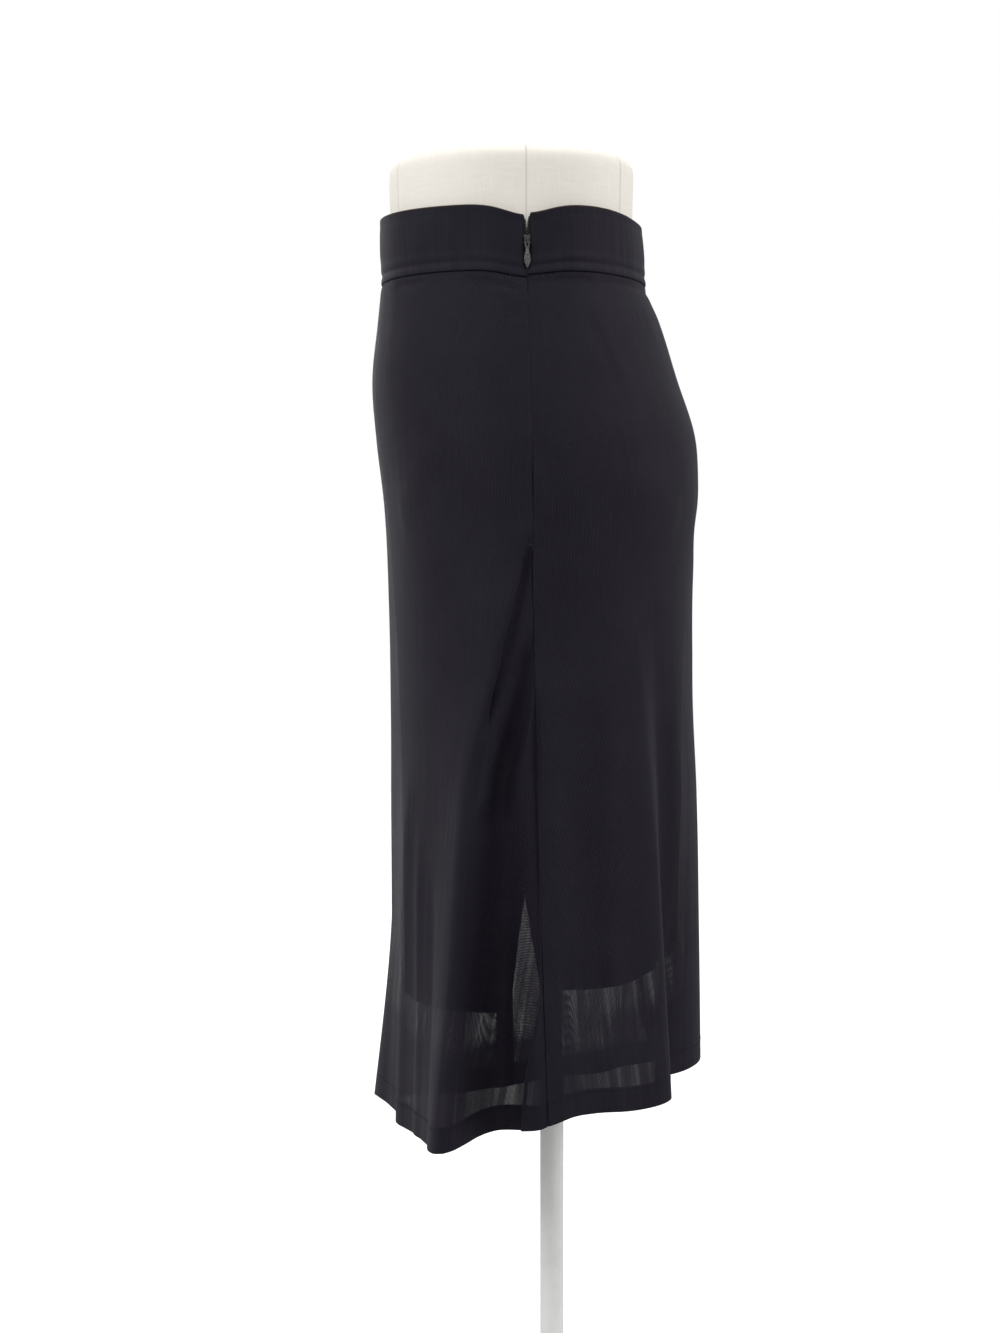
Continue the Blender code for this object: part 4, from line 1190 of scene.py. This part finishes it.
tape_drops = even_steps((TAPE_TOP, 0), (ZIP_DROP + TAPE_TAIL, 100))
for name, in_back in (("zip_tape_weave_front", False), ("zip_tape_weave_back", True)):
    widths = [np.linspace(parted(drop), TAPE_HALF, 7) for drop in tape_drops]
    points = along_zip(tape_drops, widths, tape_depth, in_back)
    tape = cloth_from_grid(name, points, flat_layout(points), tape_weave)
    thicken(tape, TAPE_CLOTH, 0)
    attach(tape, "garment")
    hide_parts("zip_tape_back" if in_back else "zip_tape_front")

# %% [markdown]
# ## Small shapes, many times
#
# The zip's teeth and the hem's stitches are the same little block again and again. A helper makes one block with
# a cube and a bevel, then copies it to each place by a matrix. Each place is built from where the block sits, the
# way it points and the way the cloth faces there.

# %% Helpers for repeated shapes


def small_block(size, rounding):
    """A cube with rounded edges, along X, Y and Z, as a mesh that is copied many times."""
    bm = bmesh.new()
    bmesh.ops.create_cube(bm, size=1, matrix=Matrix.Diagonal((*size, 1)))
    edges = bm.edges[:]
    bmesh.ops.bevel(
        bm, geom=edges, offset=rounding, segments=1, profile=0.5, affect="EDGES", material=-1, clamp_overlap=True
    )
    mesh = bpy.data.meshes.new("small_block")
    bm.to_mesh(mesh)
    bm.free()
    return mesh


def facing(place, along, outward):
    """The matrix that puts a block's X along a direction and its Z outwards."""
    x = Vector(along).normalized()
    z = Vector(outward)
    z = (z - x * z.dot(x)).normalized()
    turned = Matrix((x, z.cross(x), z)).transposed().to_4x4()
    return Matrix.Translation(place) @ turned


def repeated(name, block, places, material):
    bm = bmesh.new()
    for place in places:
        bm.from_mesh(block)
        bm.verts.ensure_lookup_table()
        bmesh.ops.transform(bm, matrix=place, verts=bm.verts[-len(block.vertices) :])
    return mesh_object(name, bm, material, smooth=False)


print("helpers for repeated shapes ready")

# %% [markdown]
# ## Metal, nylon and paint
#
# The pull is satin grey metal, the slider is the same metal under black enamel, the teeth are black nylon, and
# the stand is pale paint. They share the handling marks, each with its own colours, grain and gloss.

# %% Make the hard materials


def worn_material(name, clean, dull, smooth, rough, grain, metallic=0.0, **constants):
    material, tree, shader = start_material(name, smooth, metallic, **constants)
    _, wear = place_group(
        tree, wear_group, Grain_Size=grain, Clean=(*clean, 1), Dull=(*dull, 1), Smooth=smooth, Rough=rough
    )
    tree.links.new(wear["Colour"], shader.inputs["Base Color"])
    tree.links.new(wear["Roughness"], shader.inputs["Roughness"])
    bump(tree, shader, wear["Height"], grain * 0.02, 0.35)
    return material


satin_metal = worn_material("satin_metal", (0.18, 0.176, 0.18), (0.075, 0.073, 0.077), 0.22, 0.42, 0.0016, 1.0)
black_nylon = worn_material("black_nylon", (0.014, 0.013, 0.016), (0.022, 0.021, 0.025), 0.35, 0.5, 0.002)
pale_paint = worn_material("pale_paint", (0.95, 0.95, 0.94), (0.90, 0.90, 0.88), 0.32, 0.5, 0.02)
black_enamel = worn_material("black_enamel", (0.020, 0.020, 0.024), (0.045, 0.043, 0.046), 0.25, 0.45, 0.0016)
for made in (satin_metal, black_nylon, black_enamel, pale_paint):
    print("material:", made.name)

# %% [markdown]
# ## The zip's teeth
#
# The teeth are moulded on the tapes' inner edges, those of one side between those of the other. Above the slider
# the two rows stand apart with their tapes. Below it they close, and show as a fine ladder through the sheer cloth.

# %% Make the zip's teeth
TOOTH_PITCH = 0.00135
TOOTH_SIZE = (0.0017, 0.0008, 0.0013)
TOOTH_TOP = 0.0045
tooth = small_block(TOOTH_SIZE, 0.0002)
for name, in_back in (("zip_teeth_front", False), ("zip_teeth_back", True)):
    drops = np.arange(TOOTH_TOP + (TOOTH_PITCH / 2 if in_back else 0), ZIP_DROP, TOOTH_PITCH)
    widths = [(parted(drop), parted(drop) + 0.002) for drop in drops]
    edge = along_zip(drops, widths, lambda d: tape_depth(d) + TAPE_CLOTH / 2, in_back)
    outward = normals_of(edge)
    places = []
    for row, way in zip(edge, outward):
        inner, outer = (row[0], row[1]) if in_back else (row[1], row[0])
        places.append(facing(inner + (outer - inner) * 0.15, outer - inner, way[0]))
    teeth = repeated(name, tooth, places, black_nylon)
    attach(teeth, "garment")
    print(name, len(places))

# %% [markdown]
# ## The slider and its pull
#
# The slider is cast: a thick plate, wider at its top where the rows of teeth enter, with a small arch on its face.
# The arch goes through the eye of a flat drop-shaped pull, so the pull swings but can't come off. Both are made
# in the pull's own frame, with the turning axis at its origin and X pointing off the cloth, and put in place by
# one matrix at the end.

# %% Make the slider
SLIDER_DROP = 0.0235
PULL_LEAN = math.radians(3)
WIRE = 0.0008
FACE = -0.0011
slider_at = Vector(ring(skirt_section, SLIDER_DROP, [0.0])[0]) + Vector((-FACE, 0, 0))
PULL_PLACE = Matrix.Translation(slider_at) @ Matrix.Rotation(-PULL_LEAN, 4, "Y")


def rounded(bm, offset, segments=3, sharper_than=30):
    """Bevels every edge that turns by more than an angle."""
    sharp = [e for e in bm.edges if len(e.link_faces) == 2 and e.calc_face_angle(0) > math.radians(sharper_than)]
    bmesh.ops.bevel(bm, geom=sharp, offset=offset, segments=segments, profile=0.5, affect="EDGES", material=-1)


def pushed_on(bm, edges, way):
    """Extrudes a loop of edges along a vector and gives the new loop."""
    grown = bmesh.ops.extrude_edge_only(bm, edges=edges)["geom"]
    bmesh.ops.translate(bm, vec=way, verts=[item for item in grown if isinstance(item, bmesh.types.BMVert)])
    return [item for item in grown if isinstance(item, bmesh.types.BMEdge)]


def spun_on(bm, edges, centre, turn):
    """Spins a loop of edges about an axis along Y and gives the new loop."""
    grown = bmesh.ops.spin(bm, geom=edges, cent=centre, axis=(0, 1, 0), angle=turn, steps=6)["geom_last"]
    return [item for item in grown if isinstance(item, bmesh.types.BMEdge)]


bm = bmesh.new()
bmesh.ops.create_cube(
    bm, size=1, matrix=Matrix.Translation((FACE - 0.00095, 0, 0.00125)) @ Matrix.Diagonal((0.0019, 0.0052, 0.0095, 1))
)
bmesh.ops.subdivide_edges(bm, edges=[e for e in bm.edges if abs(e.verts[0].co.z - e.verts[1].co.z) > 1e-4], cuts=2)
for vertex in bm.verts:
    vertex.co.y *= np.interp(vertex.co.z, (-0.0035, -0.0003, 0.0028, 0.0060), (0.62, 0.78, 1.0, 0.92))
rounded(bm, 0.0005)
LOWER_LEG, UPPER_LEG, ARCH_TURN = -0.0011, 0.0042, 0.0012
foot_of_arch = Matrix.Translation((FACE - 0.0003, 0, LOWER_LEG)) @ Matrix.Rotation(math.pi / 2, 4, "Y")
circle = bmesh.ops.create_circle(bm, segments=12, radius=WIRE / 2, matrix=foot_of_arch)["verts"]
loop = list({edge for vertex in circle for edge in vertex.link_edges})
loop = pushed_on(bm, loop, (0.0003 - FACE + 0.0003, 0, 0))
loop = spun_on(bm, loop, (0.0003, 0, LOWER_LEG + ARCH_TURN), -math.pi / 2)
loop = pushed_on(bm, loop, (0, 0, UPPER_LEG - LOWER_LEG - 2 * ARCH_TURN))
loop = spun_on(bm, loop, (0.0003, 0, UPPER_LEG - ARCH_TURN), -math.pi / 2)
loop = pushed_on(bm, loop, (FACE - 0.0006, 0, 0))
bmesh.ops.holes_fill(bm, edges=[edge for edge in bm.edges if edge.is_boundary], sides=16)
bmesh.ops.recalc_face_normals(bm, faces=bm.faces)
bmesh.ops.transform(bm, matrix=PULL_PLACE, verts=bm.verts)
slider = mesh_object("slider_and_arch", bm, black_enamel)
slider.data.set_sharp_from_angle(angle=math.radians(40))
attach(slider, "garment")
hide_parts("zip_slider")
print("slider:", len(slider.data.polygons), "faces")

# %% Make the pull
PullStop = namedtuple("PullStop", "below half_width")
PULL_OUTLINE = (
    PullStop(-0.0004, 0.0016),
    PullStop(0.0036, 0.0015),
    PullStop(0.0066, 0.0010),
    PullStop(0.0115, 0.0024),
    PullStop(0.0138, 0.0023),
    PullStop(0.0168, 0.0011),
    PullStop(0.0185, 0.0005),
)
PULL_THICK = 0.0010
EYE_TOP, EYE_BOTTOM, EYE_HALF = 0.0005, 0.0032, 0.0008
BAR_RADIUS, BAR_LENGTH = 0.0005, 0.0050


def pull_edge(turn):
    """Where the pull's outline is for a turn about its middle: flat at the top, drawn to a tip below."""
    up, aside = math.sin(turn), math.cos(turn)
    first, last = PULL_OUTLINE[0].below, PULL_OUTLINE[-1].below
    below = first + (last - first) * (1 - up) / 2
    half = float(eased(PULL_OUTLINE, "half_width", below)) * min(1.0, abs(aside) * 3)
    return Vector((0, math.copysign(half, aside), -below))


def eye_edge(turn):
    """The same for the eye, a rounded slot."""
    reach = [math.copysign(abs(part) ** 0.55, part) for part in (math.cos(turn), math.sin(turn))]
    middle, half = (EYE_TOP + EYE_BOTTOM) / 2, (EYE_BOTTOM - EYE_TOP) / 2
    return Vector((0, EYE_HALF * reach[0], half * reach[1] - middle))


bm = bmesh.new()
for edge_at in (pull_edge, eye_edge):
    for vertex in bmesh.ops.create_circle(bm, segments=56, radius=1)["verts"]:
        vertex.co = edge_at(math.atan2(vertex.co.y, vertex.co.x))
bmesh.ops.bridge_loops(bm, edges=bm.edges[:])
bmesh.ops.translate(bm, vec=(-PULL_THICK / 2, 0, 0), verts=bm.verts)
grown = bmesh.ops.extrude_face_region(bm, geom=bm.faces[:])["geom"]
raised = [item for item in grown if isinstance(item, bmesh.types.BMVert)]
bmesh.ops.translate(bm, vec=(PULL_THICK, 0, 0), verts=raised)
bmesh.ops.recalc_face_normals(bm, faces=bm.faces)
rounded(bm, 0.00022, segments=2, sharper_than=60)
bar = bmesh.ops.create_cone(
    bm,
    cap_ends=True,
    segments=16,
    radius1=BAR_RADIUS,
    radius2=BAR_RADIUS,
    depth=BAR_LENGTH,
    matrix=Matrix.Rotation(math.pi / 2, 4, "X"),
)["verts"]
rims = list({edge for vertex in bar for edge in vertex.link_edges if edge.calc_face_angle(0) > 1})
bmesh.ops.bevel(bm, geom=rims, offset=0.00018, segments=2, profile=0.5, affect="EDGES", material=-1)
bmesh.ops.transform(bm, matrix=PULL_PLACE, verts=bm.verts)
pull = mesh_object("drop_pull", bm, satin_metal)
pull.data.set_sharp_from_angle(angle=math.radians(40))
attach(pull, "pull")
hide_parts("zip_pull")
print("pull:", len(pull.data.polygons), "faces")

# %% [markdown]
# ## Stitches
#
# The hems are held by a row of small stitches just below the turned edge's top. They catch the light one by one,
# so a drawn line would not do. Each stitch is a block of thread that lies along the cloth.

# %% Make the hem stitches
thread_black = worn_material(
    "sewing_thread", (0.010, 0.009, 0.013), (0.014, 0.012, 0.018), 0.7, 0.9, 0.0006, Specular_IOR_Level=KNIT_SHINE
)
STITCH_PITCH = 0.0032
stitch_block = small_block((0.0022, 0.00034, 0.0003), 0.0001)


def stitch_places(row, outward, lift):
    """Places at an even pitch along a row of points, with the way the cloth faces there."""
    reached = np.concatenate([[0], np.cumsum(np.linalg.norm(np.diff(row, axis=0), axis=1))])
    stops = np.arange(STITCH_PITCH / 2, reached[-1], STITCH_PITCH)
    at = [[np.interp(s, reached, values[:, k]) for k in range(3)] for s in stops for values in (row, outward)]
    ahead = [[np.interp(s + 0.001, reached, row[:, k]) for k in range(3)] for s in stops]
    for place, way, forward in zip(at[0::2], at[1::2], ahead):
        place, way = Vector(place), Vector(way)
        if (Vector(forward) - place).length > 1e-5:
            yield facing(place + way * lift, Vector(forward) - place, way)


for name, in_back in (("hem_stitches_front", False), ("hem_stitches_back", True)):
    panel = panels[in_back]
    nearest = int(np.argmin(abs(PANEL_DROPS - (HEM_TOP + 0.002))))
    places = list(stitch_places(panel.points[nearest], panel.normals[nearest], 0.00008))
    stitches = repeated(name, stitch_block, places, thread_black)
    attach(stitches, "garment")
    print(name, len(places))
for name, in_back in (("lining_stitches_front", False), ("lining_stitches_back", True)):
    row = linings[in_back][-max(3, round(14 * DETAIL))]
    outward = normals_of(linings[in_back])[-max(3, round(14 * DETAIL))]
    places = list(stitch_places(row, outward, 0.00008))
    stitches = repeated(name, stitch_block, places, thread_black)
    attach(stitches, "garment")
    print(name, len(places))

# %% [markdown]
# ## The form's linen cover
#
# The form is padded and covered in cream linen, cut in panels with seams down its front, sides and back. The
# packed form already has the right shape but large flat faces, so a copy of it is merged, its triangles joined
# to quads, and Subdivision makes it smooth. The linen needs a map: round the form across, and up the form along.

# %% Make the linen
FORM_CENTRE = Vector((0, -0.031, 0))
FORM_RADIUS = 0.115
FORM_SEAMS = (0, 48, 90, 132, 180, 228, 270, 292)
form_linen, tree, shader = start_material("form_linen", 0.9, Specular_IOR_Level=0.2, Sheen_Weight=0.08)
layout = tree.nodes.new("ShaderNodeUVMap")
layout.uv_map = CLOTH_MAP
LIGHT_LINEN, DARK_LINEN = (0.97, 0.93, 0.86, 1), (0.90, 0.85, 0.77, 1)
_, weave = place_group(
    tree, linen_group, Cloth=layout.outputs["UV"], Thread=0.0008, Light_Thread=LIGHT_LINEN, Dark_Thread=DARK_LINEN
)
across = add_node(tree, "ShaderNodeSeparateXYZ", Vector=layout.outputs["UV"]).outputs["X"]
nearest = None
for seam in FORM_SEAMS:
    gap = maths(tree, "ABSOLUTE", maths(tree, "SUBTRACT", across, math.radians(seam) * FORM_RADIUS))
    nearest = gap if nearest is None else maths(tree, "MINIMUM", nearest, gap)
sunk = ranged(tree, nearest, 0.0002, 0.0018, 0.0, 1.0)
crack = ranged(tree, nearest, 0.0002, 0.0007, 0.72, 1.0)
shade = add_node(tree, "ShaderNodeMix")
shade.data_type, shade.blend_type = "RGBA", "MULTIPLY"
shade.inputs["Factor"].default_value = 1.0
tree.links.new(weave["Colour"], shade.inputs["A"])
tree.links.new(crack, shade.inputs["B"])
tree.links.new(shade.outputs["Result"], shader.inputs["Base Color"])
tree.links.new(weave["Roughness"], shader.inputs["Roughness"])
height = maths(tree, "ADD", maths(tree, "MULTIPLY", weave["Height"], 0.12), sunk)
bump(tree, shader, height, 0.0009, 0.8)
print("material:", form_linen.name, "with", len(FORM_SEAMS), "seams")

# %% Make the form's cover
bm = bmesh.new()
bm.from_mesh(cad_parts["form_body"].data)
bmesh.ops.remove_doubles(bm, verts=bm.verts, dist=1e-5)
bmesh.ops.join_triangles(
    bm, faces=bm.faces, angle_face_threshold=math.radians(40), angle_shape_threshold=math.radians(60)
)
places = bm.loops.layers.uv.new(CLOTH_MAP)
for face in bm.faces:
    centre = face.calc_center_median() - FORM_CENTRE
    middle = math.atan2(centre.y, centre.x) % (2 * math.pi)
    for corner in face.loops:
        away = corner.vert.co - FORM_CENTRE
        turn = math.atan2(away.y, away.x)
        turn += 2 * math.pi * round((middle - turn) / (2 * math.pi))
        corner[places].uv = (turn * FORM_RADIUS, away.z)
cover = mesh_object("linen_cover", bm, form_linen)
rounder = cover.modifiers.new("rounder", "SUBSURF")
rounder.levels = rounder.render_levels = 2
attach(cover, "garment")
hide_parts("form_body")
print("form cover:", len(cover.data.polygons), "faces before subdivision")

# %% [markdown]
# ## The stand
#
# A turned foot with a hub holds a steel pole, and a small screw in the hub keeps the pole from turning. A lathe
# makes such a foot from a bar, and spinning half of its outline about the upright axis does the same here. The
# outline's corners are bevelled after the spin, as a turner breaks a sharp edge.

# %% Make the stand
POLE_RADIUS, POLE_TOP = 0.009, 0.6982
FOOT_RADIUS, FOOT_THICK = 0.155, 0.008
HUB_RADIUS, HUB_HEIGHT = 0.018, 0.034
SOCKET_RADIUS, SOCKET_FLOOR = 0.0093, 0.008


def turned(name, outline, corner):
    """A solid turned from half its outline, given as (radius, height) from the axis out and back to it."""
    bm = bmesh.new()
    corners = [bm.verts.new((radius, 0, height)) for radius, height in outline]
    edges = [bm.edges.new(pair) for pair in zip(corners, corners[1:])]
    bmesh.ops.spin(
        bm, geom=corners + edges, cent=(0, 0, 0), axis=(0, 0, 1), angle=2 * math.pi, steps=96, use_merge=True
    )
    bmesh.ops.remove_doubles(bm, verts=bm.verts, dist=1e-6)
    bmesh.ops.recalc_face_normals(bm, faces=bm.faces)
    rounded(bm, corner, segments=3, sharper_than=35)
    return bm


foot_outline = (
    (0, SOCKET_FLOOR),
    (SOCKET_RADIUS, SOCKET_FLOOR),
    (SOCKET_RADIUS, HUB_HEIGHT),
    (HUB_RADIUS - 0.002, HUB_HEIGHT),
    (HUB_RADIUS, HUB_HEIGHT - 0.002),
    (HUB_RADIUS, FOOT_THICK + 0.004),
    (HUB_RADIUS + 0.004, FOOT_THICK),
    (FOOT_RADIUS - 0.002, FOOT_THICK),
    (FOOT_RADIUS, FOOT_THICK - 0.002),
    (FOOT_RADIUS, 0),
    (0, 0),
)
bm = turned("round_foot", foot_outline, 0.0005)
SCREW_RADIUS, SCREW_LENGTH, SCREW_HEIGHT = 0.0035, 0.006, 0.024
screw_place = Matrix.Translation((-HUB_RADIUS - SCREW_LENGTH / 2 + 0.001, 0, SCREW_HEIGHT))
screw = bmesh.ops.create_cone(
    bm,
    cap_ends=True,
    segments=24,
    radius1=SCREW_RADIUS,
    radius2=SCREW_RADIUS,
    depth=SCREW_LENGTH,
    matrix=screw_place @ Matrix.Rotation(math.pi / 2, 4, "Y"),
)["verts"]
rims = list({edge for vertex in screw for edge in vertex.link_edges if edge.calc_face_angle(0) > 1})
bmesh.ops.bevel(bm, geom=rims, offset=0.0006, segments=2, profile=0.5, affect="EDGES", material=-1)
foot = mesh_object("round_foot", bm, pale_paint)
POLE_FOOT = SOCKET_FLOOR + 0.0003
pole_outline = ((0, POLE_TOP), (POLE_RADIUS, POLE_TOP), (POLE_RADIUS, POLE_FOOT), (0, POLE_FOOT))
pole = mesh_object("steel_pole", turned("steel_pole", pole_outline, 0.0008), pale_paint)
for thing, node in ((foot, "stand_foot"), (pole, "stand_pole")):
    thing.data.set_sharp_from_angle(angle=math.radians(35))
    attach(thing, "garment")
    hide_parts(node)
    print(thing.name, len(thing.data.polygons), "faces")
